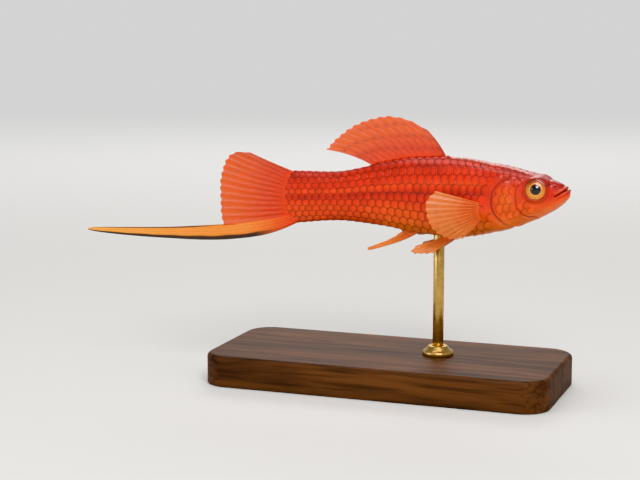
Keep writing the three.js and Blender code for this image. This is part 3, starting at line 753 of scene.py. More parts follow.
def build_scales(side):
    V, Q, UV, C = [], [], [], []
    m = len(PLATE_U)
    top = grid_quads(m, m)
    k = m * m
    ring = np.concatenate([np.arange(m), np.arange(1, m) * m + m - 1, (m - 1) * m + np.arange(m - 2, -1, -1), np.arange(m - 2, 0, -1) * m])
    nxt = np.roll(ring, -1)
    faces = np.vstack([top, top[:, ::-1] + k, np.stack([ring, nxt, nxt + k, ring + k], -1)[:, ::-1]])
    centre_x = PX.ravel()[top].mean(1)
    centre_r = PR.ravel()[top].mean(1)
    rim_top = (centre_r > 0.78) & (centre_x > -0.35)
    is_rim = np.concatenate([rim_top, rim_top, np.ones(len(ring), bool)])
    count = 0
    for s0, t0 in LATTICE:
        on_left = 0 <= t0 % 1 <= 0.5
        if on_left != (side > 0):
            continue
        tall = scale_fits(s0, t0)
        if not tall:
            continue
        g = np.interp(s0, S_TAB, GIRTH)
        pitch = g / ROWS
        long = float(spacing(s0)) * (0.90 if s0 > 16.3 else 0.74) * rng.uniform(0.97, 1.03)
        wide = pitch * (0.70 if s0 > 16.3 else 0.6) * rng.uniform(0.97, 1.03)
        ss = s0 + PX * long
        ss = np.minimum(ss, BODY_END - 0.25 - 0.01 * (1 - PX))
        gg = np.interp(ss, S_TAB, GIRTH)
        # rows follow the lattice's own share of the girth
        tt = t0 + PY * wide / gg
        pos, nor = surf(ss, tt)
        base = relief(pos) - coat_depth(pos)
        lift = lerp(-0.07, 0.155, step(-1.15, 1.05, PX)) * tall + 0.02 * (1 - PY**2) * tall - 0.035 * step(0.8, 1.0, PR) * (PX > -0.3)
        lift = lift + rng.normal(0, 0.008)
        thick = lerp(0.055, 0.03, step(0.6, 1.0, PR))
        a = pos + nor * (base + lift)[..., None]
        b = pos + nor * (base + lift - thick)[..., None]
        V.append(world(np.concatenate([a.reshape(-1, 3), b.reshape(-1, 3)])))
        c = body_colour(pos)
        tone = rng.normal(0, 0.055)
        # painted highlight: each scale is painted lighter across its middle, a painted sheen
        painted_sheen = bump(PX - 0.15, 0.45) * (1 - 0.5 * PY**2)
        c = c * (1 + tone)
        c = blend(c, np.minimum(c * 1.3 + np.array([0.03, 0.012, 0.002]), 1), 0.5 * painted_sheen)
        dark = step(0.74, 0.93, PR) * step(-0.4, 0.0, PX)
        c = blend(c, c * 0.42, 0.85 * dark * (1 if s0 > 16.3 else 0.7))
        c = np.clip(c, 0, 1).reshape(-1, 3)
        C.append(np.vstack([c, c]))
        Q.append(faces + count * 2 * k)
        # two small patches at the scale's root on the skin's own unwrap: the plate's and its dark rim's
        cu, cv = 0.01 + 0.98 * np.interp(s0, S_TAB, np.linspace(0, 1, len(S_TAB))), 0.005 + 0.99 * (t0 % 1)
        local = np.stack([PX.ravel(), PY.ravel()], -1) * 0.0015
        both = np.vstack([local, local])
        uv = both[faces] + [cu, cv]
        uv[is_rim] += [0.005, 0.0]
        UV.append(uv.reshape(-1, 2))
        count += 1
    V, Q, UV, C = np.vstack(V), np.vstack(Q), np.vstack(UV), np.vstack(C)
    q = Q[len(top) // 2]
    out = np.cross(V[q[1]] - V[q[0]], V[q[3]] - V[q[0]])
    a_minus_b = V[q[0]] - V[q[0] + k]
    if out @ a_minus_b < 0:
        UV = UV.reshape(-1, 4, 2)[:, ::-1].reshape(-1, 2)
        Q = Q[:, ::-1]
    o = make_mesh("scales_left" if side > 0 else "scales_right", V, Q, SCALES, C, uv=UV)
    return count


LATTICE = lattice()
print("scales:", build_scales(1), build_scales(-1))

# ---- fins: each is a function of u across its rays and v from root to edge, as in the solids ----------------------------
rad = np.radians


def scallop(rays, u):
    return 0.3 * (0.5 - 0.5 * np.cos(2 * math.pi * (rays - 1) * u))


DORSAL_RAYS, DORSAL_FROM, DORSAL_TO = 13, 27.2, 43.0
dorsal_length = smooth([0, 0.12, 0.3, 0.55, 0.8, 1], [8.2, 11.6, 13.9, 14.4, 13.6, 12.2])
dorsal_lean = smooth([0, 0.5, 1], [27, 45, 63])


def dorsal_at(u, v):
    s0 = lerp(DORSAL_FROM, DORSAL_TO, u)
    lean = rad(dorsal_lean(u) - 5 + 12 * v)
    l = (dorsal_length(u) - scallop(DORSAL_RAYS, u)) * v
    return np.stack([s0 + l * np.sin(lean), 0.75 * np.sin(3.4 * u + 0.5) * v * v, back_of(s0) - 0.9 + l * np.cos(lean)], -1)


TAIL_RAYS, TAIL_ROOT = 13, 61.9
tail_reach = smooth([0, 0.06, 0.14, 0.3, 0.55, 0.85, 1], [10.2, 12.6, 14.6, 16.4, 17.5, 17.4, 16.9])
sword_half = smooth([0, 9, 17, 30, 42, 48.5, 50.1], [1.25, 1.75, 1.75, 1.3, 0.85, 0.45, 0.2])


def sword_middle(r):
    return -4.6 - 3.9 * (1 - np.exp(-np.maximum(r, 0) / 9)) + 0.0005 * r * r


def tail_at(u, v):
    r = (tail_reach(u) - scallop(TAIL_RAYS, u)) * v
    top = 5.45 + 0.42 * r + 0.0042 * r * r
    bottom = sword_middle(r) + sword_half(r) - 0.25
    return np.stack([TAIL_ROOT + r, 0.5 * np.sin(4.5 * u) * v * v, lerp(top, bottom, u)], -1)


def sword_at(u, v):
    r = (SWORD_END - TAIL_ROOT) * v
    y = 0.5 * math.sin(4.5) * np.minimum(v * 3, 1) ** 2 * (1 - v) - 0.12 * np.sin(2.2 * (u - 0.5)) * v
    return np.stack([TAIL_ROOT + r, y, sword_middle(r) + sword_half(r) * (1 - 2 * u)], -1)


ANAL_FROM, ANAL_TO, ANAL_LONG, ANAL_SHORT, ANAL_WIDE = 33.4, 36.3, 12.2, 3.4, 1.05


def anal_at(u, v):
    """The male's anal fin: the long front rays close up into a rod, the short rear ones stay a small flap."""
    s0 = lerp(ANAL_FROM, ANAL_TO, u)
    z0 = belly_of(s0) + 0.7
    drop = rad(26 - 6 * v)
    shut = step(0, 0.32, v)
    across = ANAL_WIDE * (np.minimum(u / 0.62, 1) - 0.5) * (1 - 0.45 * v)
    cs, cz = ANAL_FROM + 0.9, float(belly_of(ANAL_FROM + 0.9)) + 0.45
    long_s = lerp(s0, cs + across * np.sin(drop), shut) + ANAL_LONG * v * np.cos(drop)
    long_z = lerp(z0, cz + across * np.cos(drop), shut) - ANAL_LONG * v * np.sin(drop)
    short_s = s0 + ANAL_SHORT * v * math.cos(rad(30))
    short_z = z0 - ANAL_SHORT * v * math.sin(rad(30))
    k = step(0.6, 0.98, u)
    return np.stack([lerp(long_s, short_s, k), 0 * s0 * v, lerp(long_z, short_z, k)], -1)


PECTORAL_RAYS = 12
pectoral_length = smooth([0, 0.2, 0.5, 0.8, 1], [11.2, 12.9, 12.2, 9.4, 6.6])


def pectoral_at(side):
    def f(u, v):
        z0 = lerp(-1.0, -3.8, u)
        s0 = 17.7 + 0.5 * u
        y0 = side_of(s0, z0) - 0.6
        l = (pectoral_length(u) - scallop(PECTORAL_RAYS, u)) * v
        rise = rad(lerp(17, -43, u))
        out = rad(lerp(30, 40, u) - 9 * v)
        return np.stack(
            [
                s0 + l * np.cos(rise) * np.cos(out),
                side * (y0 + l * np.cos(rise) * np.sin(out) + 0.25 * np.sin(5 * u) * v),
                z0 + l * np.sin(rise),
            ],
            -1,
        )

    return f


PELVIC_RAYS = 6
pelvic_length = smooth([0, 0.35, 0.75, 1], [7.0, 8.6, 10.2, 8.4])


def pelvic_at(side):
    def f(u, v):
        s0 = 24.4 + 1.7 * u
        y0 = lerp(2.5, 1.75, u)
        z0 = belly_of(s0) + 1.15
        l = (pelvic_length(u) - scallop(PELVIC_RAYS, u)) * v
        drop = rad(lerp(41, 25, u) - 6 * v)
        out = rad(lerp(21, 9, u))
        return np.stack([s0 + l * np.cos(drop) * np.cos(out), side * (y0 + l * np.cos(drop) * np.sin(out)), z0 - l * np.sin(drop)], -1)

    return f


FIN_RED = np.array([0.70, 0.050, 0.006])
FIN_ORANGE = np.array([0.80, 0.115, 0.012])
FIN_CLEAR = np.array([0.84, 0.26, 0.07])


def fin_normal(at, u, v, e=1e-3):
    du = at(np.minimum(u + e, 1), v) - at(np.maximum(u - e, 0), v)
    dv = at(u, np.minimum(v + e, 1)) - at(u, np.maximum(v - e, 0))
    n = np.cross(du, dv)
    return n / np.maximum(np.linalg.norm(n, axis=-1, keepdims=True), 1e-12)


def build_fin(name, node, at, rays, colour, opacity, ray_radius=0.26, branches=2, joint=0.55, root_thick=0.5, spots=0.0, from_v=0.0):
    """A fin's skin as a thin closed sheet and its jointed, forked rays as joined tubes."""
    nu, nv = 10 * (rays - 1) + 1, 64
    u, v = np.meshgrid(np.linspace(0, 1, nu), from_v + (1 - from_v) * np.linspace(0, 1, nv) ** 0.9, indexing="ij")
    on_ray = 0.5 + 0.5 * np.cos(2 * math.pi * (rays - 1) * u)
    mid = at(u, v)
    # the skin waves a little between its rays and is a little frayed at its edge
    n = fin_normal(at, u, v)
    mid = mid + n * (0.05 * np.sin(2 * math.pi * (rays - 1) * u) * v)[..., None]
    thick = 0.10 + root_thick * (1 - step(0.0, 0.3, v)) + 0.05 * on_ray
    c = colour(u, v)
    c = blend(c, c * 0.72, 0.5 * on_ray)
    if spots:
        rows = 0.5 + 0.5 * np.sin(2 * math.pi * (3.6 * v + 0.35 * np.sin(5 * u)))
        c = blend(c, DEEP, spots * rows**3 * (1 - on_ray) * step(0.15, 0.3, v) * step(1.0, 0.8, v))
    a = opacity(u, v)
    a = np.clip(a + 0.15 * on_ray + (1 - a) * (1 - step(0.02, 0.22, v)), 0, 1)
    V, Q, UV, C, A = sheet_mesh(mid, thick, c, a)
    skin_o = make_mesh(name + "_skin", V, Q, MEMBRANE, C, A, UV)
    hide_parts(node)
    tubes = []
    gap = 1 / (rays - 1)
    for r in range(rays):
        u0 = r * gap
        length = float(np.linalg.norm(at(np.array(u0), np.array(1.0)) - at(np.array(u0), np.array(0.0))))
        edge = r in (0, rays - 1)
        forks = 0 if edge else branches
        runs = [(from_v, 1.0 if forks == 0 else 0.5, 0.0, 0.0)]
        if forks >= 1:
            end = 1.0 if forks == 1 else 0.76
            runs += [(0.47, end, 0.0, -0.17), (0.47, end, 0.0, 0.17)]
        if forks >= 2:
            for mid_u in (-0.17, 0.17):
                runs += [(0.74, 0.995, mid_u, mid_u - 0.1), (0.74, 0.995, mid_u, mid_u + 0.1)]
        for v0, v1, off0, off1 in runs:
            m = max(int(length * (v1 - v0) / 0.16), 8)
            vv = np.linspace(v0, v1, m)
            k = step(v0, v0 + 0.22, vv)
            uu = np.clip(u0 + gap * lerp(off0, off1, k), 0, 1)
            path = at(uu, vv)
            nn = fin_normal(at, uu, vv)
            run = vv * length
            pinch = 1 - 0.22 * bump((run / joint) % 1 - 0.5, 0.13) * step(0.2, 0.35, vv)
            size = ray_radius * (1 - 0.74 * vv) * (0.8 if v0 > 0.4 else 1.0) * (0.86 if v0 > 0.7 else 1.0)
            cc = colour(uu, vv)
            cc = blend(cc * 0.80, cc * 0.45, (0.8 * bump((run / joint) % 1 - 0.5, 0.15) * step(0.2, 0.35, vv)))
            tubes.append((path, nn, size * pinch, size * pinch * 0.82, cc))
    V, Q, T, UV, C = tubes_mesh(tubes)
    rays_o = make_mesh(name + "_rays", V, Q, RAYS, C, uv=UV, tris=T)
    return skin_o, rays_o


def dorsal_colour(u, v):
    c = blend(FIN_RED, FIN_ORANGE, step(0.1, 0.9, v))
    c = blend(c, DEEP, 0.35 * step(0.12, 0.0, u))
    return c


def tail_colour(u, v):
    c = blend(FIN_RED, FIN_ORANGE, step(0.2, 1.0, v))
    c = blend(c, FIN_RED * 0.8, 0.5 * step(0.16, 0.02, u))
    return c


def side_colour(u, v):
    return blend(FIN_ORANGE, FIN_CLEAR, step(0.1, 0.8, v))


build_fin("dorsal_fin", "dorsal_fin", dorsal_at, DORSAL_RAYS, dorsal_colour, lambda u, v: 0.80 - 0.14 * v, 0.28, spots=0.6)
build_fin("caudal_fin", "caudal_fin", tail_at, TAIL_RAYS, tail_colour, lambda u, v: 0.82 - 0.16 * v, 0.30, root_thick=0.7)
for side, word in ((1, "left"), (-1, "right")):
    build_fin("pectoral_fin_" + word, "pectoral_fin_" + word, pectoral_at(side), PECTORAL_RAYS, side_colour, lambda u, v: 0.5 - 0.1 * v, 0.16, root_thick=0.4)
    build_fin("pelvic_fin_" + word, "pelvic_fin_" + word, pelvic_at(side), PELVIC_RAYS, side_colour, lambda u, v: 0.72 - 0.08 * v, 0.19, root_thick=0.4)
build_fin("anal_fin", "anal_fin", anal_at, 5, lambda u, v: blend(FIN_ORANGE, FIN_CLEAR, step(0.0, 0.7, v)), lambda u, v: 0.88 + 0 * v, 0.24, branches=0, root_thick=0.5)


# ---- sword ---------------------------------------------------------------------------------------------------------------
nu, nv = 49, 420
u, v = np.meshgrid(np.linspace(0, 1, nu), np.linspace(0, 1, nv), indexing="ij")
mid = sword_at(u, v)
on_ray = 0.5 + 0.5 * np.cos(2 * math.pi * 5 * u)
run = v * (SWORD_END - TAIL_ROOT)
joints = bump((run / 0.7) % 1 - 0.5, 0.12) * step(2, 5, run)
round_off = np.sqrt(np.clip(1 - (2 * u - 1) ** 4, 0, 1))
thick = (0.16 + 0.42 * (1 - v) + 0.55 * (1 - step(0, 0.14, v))) * round_off + 0.06
thick = thick + (0.13 * on_ray * (1 - 0.7 * v) * (1 - 0.35 * joints)) * round_off
low = step(0.64, 0.78, u + 0.015 * np.sin(run * 0.9))
high = step(0.17, 0.06, u)
c = blend(FIN_RED, np.array([0.90, 0.28, 0.035]), step(0.0, 0.3, v))
c = blend(c, np.array([0.88, 0.42, 0.06]), 0.6 * step(0.3, 0.95, v))
c = blend(c, c * 0.6, 0.35 * on_ray)
c = blend(c, c * 0.55, 0.5 * joints * on_ray)
c = blend(c, np.array([0.012, 0.008, 0.008]), 0.96 * low * step(0.05, 0.2, v))
c = blend(c, np.array([0.03, 0.01, 0.008]), 0.85 * high * step(0.25, 0.5, v))
V, Q, UV, C, A = sheet_mesh(mid, thick, c)
sword = make_mesh("sword_blade", V, Q, SWORD, C, uv=UV)
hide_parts("sword")

# ---- eyes ------------------------------------------------------------------------------------------------------------------
def build_eye(side):
    y0 = float(side_of(EYE_S, EYE_Z)) - EYE_SUNK
    tilt = -0.8 * math.atan2(float(side_of(EYE_S, EYE_Z + 1) - side_of(EYE_S, EYE_Z - 1)), 2)
    turn = 0.8 * math.atan2(float(side_of(EYE_S + 1, EYE_Z) - side_of(EYE_S - 1, EYE_Z)), 2)

    def place(x, h, z):
        """Local eye coordinates: x back, z up, h out of the head from the ball's centre."""
        y1 = h * math.cos(tilt) - z * math.sin(tilt)
        z1 = h * math.sin(tilt) + z * math.cos(tilt)
        x2 = x * math.cos(turn) - y1 * math.sin(turn)
        y2 = x * math.sin(turn) + y1 * math.cos(turn)
        return world(np.stack([EYE_S + x2, side * (y0 + y2), EYE_Z + z1], -1))

    # iris: a shallow dish of gold with a rolled outer edge; rings by radius
    R = 2.27
    rr = np.array([0.7, 0.9, 1.0, 1.08, 1.15, 1.22, 1.32, 1.44, 1.57, 1.7, 1.82, 1.92, 2.02, 2.1, 2.17, 2.23, R])
    hh = 0.74 + 0.66 * np.sqrt(np.clip(1 - (rr / 2.42) ** 2, 0, 1)) - 0.0 * rr
    hh = hh - 0.1 * bump(rr - 1.55, 0.4)
    rr = np.concatenate([rr, [R, 2.1, 1.6]])
    hh = np.concatenate([hh, [0.35, -0.2, -0.8]])
    seg = 72
    ang = np.arange(seg) / seg * 2 * math.pi
    x = rr[:, None] * np.cos(ang)[None]
    z = rr[:, None] * np.sin(ang)[None]
    h = np.repeat(hh[:, None], seg, 1)
    V = place(x, h, z).reshape(-1, 3)
    ends = place(np.zeros(2), np.array([1.2, -1.2]), np.zeros(2))
    V = np.vstack([V, ends])
    m = len(rr)
    i, j = np.meshgrid(np.arange(m - 1), np.arange(seg), indexing="ij")
    j2 = (j + 1) % seg
    Q = np.stack([i * seg + j, (i + 1) * seg + j, (i + 1) * seg + j2, i * seg + j2], -1).reshape(-1, 4)
    j = np.arange(seg)
    T = np.vstack([np.stack([np.full(seg, m * seg), j, (j + 1) % seg], -1), np.stack([np.full(seg, m * seg + 1), (m - 1) * seg + (j + 1) % seg, (m - 1) * seg + j], -1)])
    r2, a2 = np.meshgrid(rr, ang, indexing="ij")
    g = np.random.default_rng(5)
    fleck = sum(np.sin(k * a2 + g.uniform(0, 6.28)) * g.uniform(0.3, 1) for k in (3, 5, 8, 13, 21)) / 2.5
    gold = np.array([0.70, 0.24, 0.025])
    bright = np.array([0.90, 0.48, 0.10])
    dark = np.array([0.10, 0.03, 0.012])
    up = np.sin(a2)
    c = blend(gold, np.array([0.40, 0.05, 0.006]), np.clip(0.42 + 0.5 * up + 0.12 * fleck, 0, 1))
    c = blend(c, bright, 0.8 * bump(r2 - 1.3, 0.1))
    c = blend(c, dark, np.clip(0.55 * step(0.1, 0.9, up) * step(1.3, 1.9, r2) + 0.9 * step(1.98, 2.2, r2), 0, 1))
    c = blend(c, dark, 0.95 * step(1.22, 1.14, r2))
    C = np.vstack([c.reshape(-1, 3), dark, dark])
    flatx = np.vstack([np.stack([x.ravel(), z.ravel()], -1), [[0, 0], [0, 0]]])
    back = np.zeros(len(flatx), bool)
    back[17 * seg : m * seg] = True
    back[-1] = True
    flat = flatx / R * 0.22 + [0.25, 0.5]
    UQ = flat[Q]
    UT = flat[T]
    rear_q = np.arange(len(Q)) >= 17 * seg
    UQ[rear_q] = (flatx[Q[rear_q]] / R * 0.22) + [0.75, 0.5]
    rear_t = np.arange(len(T)) >= seg
    UT[rear_t] = (flatx[T[rear_t]] / R * 0.22) + [0.75, 0.5]
    q = Q[0]
    centre = place(np.zeros(1), np.zeros(1), np.zeros(1))[0]
    if np.cross(V[q[1]] - V[q[0]], V[q[3]] - V[q[0]]) @ (V[q].mean(0) - centre) < 0:
        Q, T, UQ, UT = Q[:, ::-1], T[:, ::-1], UQ[:, ::-1], UT[:, ::-1]
    word = "left" if side > 0 else "right"
    ball = make_mesh("eye_%s_ball" % word, V, Q, IRIS, C, uv=np.vstack([UQ.reshape(-1, 2), UT.reshape(-1, 2)]), tris=T)
    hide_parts("eye_" + word)
    # pupil: the dark round lens, which stands out through the iris as in most fish
    k = np.linspace(0, math.pi, 26)
    rr = 1.2 * np.sin(k)
    hh = 0.93 + np.where(k < math.pi / 2, 0.66, 0.5) * np.cos(k)
    seg = 56
    ang = np.arange(seg) / seg * 2 * math.pi
    x = rr[1:-1, None] * np.cos(ang)[None] * 1.04 - 0.04
    z = rr[1:-1, None] * np.sin(ang)[None]
    h = np.repeat(hh[1:-1, None], seg, 1)
    V = np.vstack([place(x, h, z).reshape(-1, 3), place(np.full(2, -0.04), hh[[0, -1]], np.zeros(2))])
    m = len(rr) - 2
    i, j = np.meshgrid(np.arange(m - 1), np.arange(seg), indexing="ij")
    j2 = (j + 1) % seg
    Q = np.stack([i * seg + j, (i + 1) * seg + j, (i + 1) * seg + j2, i * seg + j2], -1).reshape(-1, 4)
    j = np.arange(seg)
    T = np.vstack([np.stack([np.full(seg, m * seg), j, (j + 1) % seg], -1), np.stack([np.full(seg, m * seg + 1), (m - 1) * seg + (j + 1) % seg, (m - 1) * seg + j], -1)])
    centre = place(np.zeros(1), np.full(1, 0.9), np.zeros(1))[0]
    q = Q[5 * seg]
    if np.cross(V[q[1]] - V[q[0]], V[q[3]] - V[q[0]]) @ (V[q].mean(0) - centre) < 0:
        Q, T = Q[:, ::-1], T[:, ::-1]
    lens = make_mesh("eye_%s_pupil" % word, V, Q, PUPIL, tris=T)
    # the fold of skin round the eye, a low mound whose lip laps over the iris's edge
    fold = np.array(
        [(2.18, 0.85), (2.15, 1.02), (2.15, 1.08), (2.19, 1.13), (2.27, 1.16), (2.38, 1.15), (2.49, 1.09), (2.61, 0.98), (2.73, 0.83), (2.85, 0.64), (2.98, 0.40), (3.12, 0.10), (3.16, -0.2), (2.6, -0.3)]
    )
    seg = 96
    ang = np.arange(seg) / seg * 2 * math.pi
    # narrower over the eye, where it meets the crown, and finely creased
    full = 1 - 0.085 * np.maximum(np.sin(ang), 0)[None] ** 2 + 0.004 * np.sin(11 * ang)[None] + 0.003 * np.sin(17 * ang + 1)[None]
    grow = np.clip((fold[:, 0, None] - 2.15) / 0.9, 0, 1)
    x = fold[:, 0, None] * (1 + (full - 1) * grow) * np.cos(ang)[None]
    z = fold[:, 0, None] * (1 + (full - 1) * grow) * np.sin(ang)[None]
    h = np.repeat(fold[:, 1, None], seg, 1)
    V = place(x, h, z).reshape(-1, 3)
    m = len(fold)
    i, j = np.meshgrid(np.arange(m), np.arange(seg), indexing="ij")
    i2, j2 = (i + 1) % m, (j + 1) % seg
    Q = np.stack([i * seg + j, i2 * seg + j, i2 * seg + j2, i * seg + j2], -1).reshape(-1, 4)
    UQ = np.stack(
        [
            0.01 + 0.98 * np.stack([j, j, j + 1, j + 1], -1) / seg,
            0.01 + 0.98 * np.stack([i, i + 1, i + 1, i], -1) / m,
        ],
        -1,
    ).reshape(-1, 4, 2)
    near = np.stack([EYE_S + x, side * np.full(x.shape, 3.5), EYE_Z + z], -1)
    c = body_colour(near)
    q = np.hypot(x, z)
    here = body_colour(np.stack([EYE_S + x * 3.05 / q, side * np.full(x.shape, 3.5), EYE_Z + z * 3.05 / q], -1))
    c = blend(here, np.broadcast_to(DEEP, here.shape), 0.55 * step(2.75, 2.3, q))
    # painted shade: the fold's inner lip, where it laps over the iris, is painted near black
    c = blend(c, np.broadcast_to(DUSKY_PIGMENT_AND_PAINTED_SHADE, here.shape), 0.8 * step(2.24, 2.16, q))
    a, b, d = V[Q[:, 0]], V[Q[:, 1]], V[Q[:, 2]]
    if np.sum(np.einsum("ij,ij->i", a - V.mean(0), np.cross(b - a, d - a))) < 0:
        Q, UQ = Q[:, ::-1], UQ[:, ::-1]
    rim = make_mesh("orbit_rim_" + word, V, Q, SKIN, c.reshape(-1, 3), uv=UQ.reshape(-1, 2))


build_eye(1)
build_eye(-1)

# ---- stand -----------------------------------------------------------------------------------------------------------------
WOOD, t, b = new_material("dark_wood")
place = t.nodes.new("ShaderNodeTexCoord")
mapping = t.nodes.new("ShaderNodeMapping")
mapping.inputs["Scale"].default_value = (9, 95, 95)
t.links.new(place.outputs["Object"], mapping.inputs["Vector"])
warp = t.nodes.new("ShaderNodeTexNoise")
warp.inputs["Scale"].default_value = 2.2
warp.inputs["Detail"].default_value = 5
warp.inputs["Roughness"].default_value = 0.6
warp.inputs["Distortion"].default_value = 0.9
t.links.new(mapping.outputs["Vector"], warp.inputs["Vector"])
pores_map = t.nodes.new("ShaderNodeMapping")
pores_map.inputs["Scale"].default_value = (60, 1500, 1500)
t.links.new(place.outputs["Object"], pores_map.inputs["Vector"])
pores = t.nodes.new("ShaderNodeTexNoise")
pores.inputs["Scale"].default_value = 1.0
pores.inputs["Detail"].default_value = 2
t.links.new(pores_map.outputs["Vector"], pores.inputs["Vector"])
ramp = t.nodes.new("ShaderNodeValToRGB")
ramp.color_ramp.elements[0].position = 0.32
ramp.color_ramp.elements[0].color = (0.030, 0.0115, 0.005, 1)
ramp.color_ramp.elements[1].position = 0.68
ramp.color_ramp.elements[1].color = (0.135, 0.052, 0.020, 1)
t.links.new(warp.outputs["Fac"], ramp.inputs["Fac"])
darken = t.nodes.new("ShaderNodeMapRange")
darken.inputs["From Min"].default_value = 0.36
darken.inputs["From Max"].default_value = 0.5
darken.inputs["To Min"].default_value = 0.55
darken.inputs["To Max"].default_value = 1.0
t.links.new(pores.outputs["Fac"], darken.inputs["Value"])
mult = t.nodes.new("ShaderNodeVectorMath")
mult.operation = "SCALE"
t.links.new(ramp.outputs["Color"], mult.inputs[0])
t.links.new(darken.outputs["Result"], mult.inputs["Scale"])
t.links.new(mult.outputs["Vector"], b.inputs["Base Color"])
b.inputs["Roughness"].default_value = 0.55
b.inputs["Specular IOR Level"].default_value = 0.22

BRASS, t, b = new_material("brass")
place = t.nodes.new("ShaderNodeTexCoord")
grain = t.nodes.new("ShaderNodeTexNoise")
grain.inputs["Scale"].default_value = 420
grain.inputs["Detail"].default_value = 4
t.links.new(place.outputs["Object"], grain.inputs["Vector"])
ramp = t.nodes.new("ShaderNodeValToRGB")
ramp.color_ramp.elements[0].position = 0.3
ramp.color_ramp.elements[0].color = (0.52, 0.33, 0.11, 1)
ramp.color_ramp.elements[1].position = 0.7
ramp.color_ramp.elements[1].color = (0.68, 0.46, 0.18, 1)
t.links.new(grain.outputs["Fac"], ramp.inputs["Fac"])
t.links.new(ramp.outputs["Color"], b.inputs["Base Color"])
b.inputs["Metallic"].default_value = 1.0
r = t.nodes.new("ShaderNodeMapRange")
r.inputs["From Min"].default_value = 0.3
r.inputs["From Max"].default_value = 0.7
r.inputs["To Min"].default_value = 0.2
r.inputs["To Max"].default_value = 0.34
t.links.new(grain.outputs["Fac"], r.inputs["Value"])
t.links.new(r.outputs["Result"], b.inputs["Roughness"])


def turned(name, profile, centre, material, seg=64):
    """A solid of revolution about a vertical line, from (radius, height) in millimetres. It starts and ends on the axis or is a ring."""
    prof = np.array(profile, float)
    ang = np.arange(seg) / seg * 2 * math.pi
    V = np.stack(
        [
            centre[0] + prof[:, 0, None] * np.cos(ang)[None],
            centre[1] + prof[:, 0, None] * np.sin(ang)[None],
            np.repeat(prof[:, 1, None], seg, 1),
        ],
        -1,
    ).reshape(-1, 3)
    m = len(prof)
    ring = prof[0, 0] > 0 and np.allclose(prof[0], prof[-1])
    rows = m - 1
    if ring:
        V = V[: rows * seg]
    i, j = np.meshgrid(np.arange(rows), np.arange(seg), indexing="ij")
    i2 = (i + 1) % rows if ring else i + 1
    j2 = (j + 1) % seg
    Q = np.stack([i * seg + j, i * seg + j2, i2 * seg + j2, i2 * seg + j], -1).reshape(-1, 4)
    T = None
    if not ring:
        V = np.vstack([V, [[centre[0], centre[1], prof[0, 1]], [centre[0], centre[1], prof[-1, 1]]]])
        j = np.arange(seg)
        T = np.vstack([np.stack([np.full(seg, m * seg), (j + 1) % seg, j], -1), np.stack([np.full(seg, m * seg + 1), (m - 1) * seg + j, (m - 1) * seg + (j + 1) % seg], -1)])
    return make_mesh(name, V / 1000, Q, material, tris=T)


def rounded_box(name, length, width, height, corner, bevel, material):
    """The base: a slab with round corners and a soft moulded upper edge."""
    seg = 14
    plan = []
    for cx, cy, a0 in ((1, 1, 0), (-1, 1, 90), (-1, -1, 180), (1, -1, 270)):
        for k in range(seg + 1):
            a = math.radians(a0 + 90 * k / seg)
            plan.append((cx * (length / 2 - corner), cy * (width / 2 - corner), math.cos(a), math.sin(a)))
    plan = np.array(plan)
    levels = [(bevel * 0.4, 0.0)]
    for k in range(5):
        a = math.pi / 2 * (k + 1) / 5
        levels.append((bevel * 0.4 * (1 - math.sin(a)), bevel * 0.4 * (1 - math.cos(a))))
    levels.append((0.0, height - bevel))
    for k in range(7):
        a = math.pi / 2 * (k + 1) / 7
        levels.append((bevel * (1 - math.cos(a)), height - bevel + bevel * math.sin(a)))
    rings = [np.stack([plan[:, 0] + plan[:, 2] * (corner - inset), plan[:, 1] + plan[:, 3] * (corner - inset), np.full(len(plan), z)], -1) for inset, z in levels]
    n = len(plan)
    V = np.vstack(rings)
    m = len(rings)
    i, j = np.meshgrid(np.arange(m - 1), np.arange(n), indexing="ij")
    j2 = (j + 1) % n
    Q = np.stack([i * n + j, i * n + j2, (i + 1) * n + j2, (i + 1) * n + j], -1).reshape(-1, 4)
    V = np.vstack([V, [[0, 0, 0], [0, 0, height]]])
    j = np.arange(n)
    T = np.vstack([np.stack([np.full(n, m * n), (j + 1) % n, j], -1), np.stack([np.full(n, m * n + 1), (m - 1) * n + j, (m - 1) * n + (j + 1) % n], -1)])
    o = make_mesh(name, V / 1000, Q, material, tris=T)
    return o


root = world(np.array([ROD_S, 0.0, float(belly_of(ROD_S))])) * 1000
base = rounded_box("stand_base_wood", BASE_L, BASE_W, BASE_H, BASE_CORNER, 1.0, WOOD)
base.data.shade_smooth()
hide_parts("stand_base")
rod_top = root[2] + 4.2
rod = turned("stand_rod_brass", [(ROD_R - 0.15, BASE_H - 4.5), (ROD_R, BASE_H - 4.35), (ROD_R, rod_top - 0.3), (ROD_R - 0.3, rod_top)], root, BRASS)
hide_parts("stand_rod")
z0 = BASE_H + 0.02
collar = turned(
    "stand_collar_brass",
    [(ROD_R + 0.02, z0), (COLLAR_R - 0.15, z0), (COLLAR_R, z0 + 0.15), (COLLAR_R, z0 + 0.8), (COLLAR_R - 0.12, z0 + 0.98), (COLLAR_R - 0.42, z0 + 1.12),
     (COLLAR_R - 0.8, z0 + 1.45), (COLLAR_R - 1.15, z0 + 2.0), (COLLAR_R - 1.35, z0 + 2.18), (ROD_R + 0.25, z0 + 2.2), (ROD_R + 0.02, z0 + 2.1), (ROD_R + 0.02, z0)],
    root,
    BRASS,
)
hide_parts("stand_collar")
for o in (base, rod, collar):
    bpy.context.view_layer.objects.active = o
    o.select_set(True)
    bpy.ops.object.shade_auto_smooth(angle=math.radians(32))
    o.select_set(False)

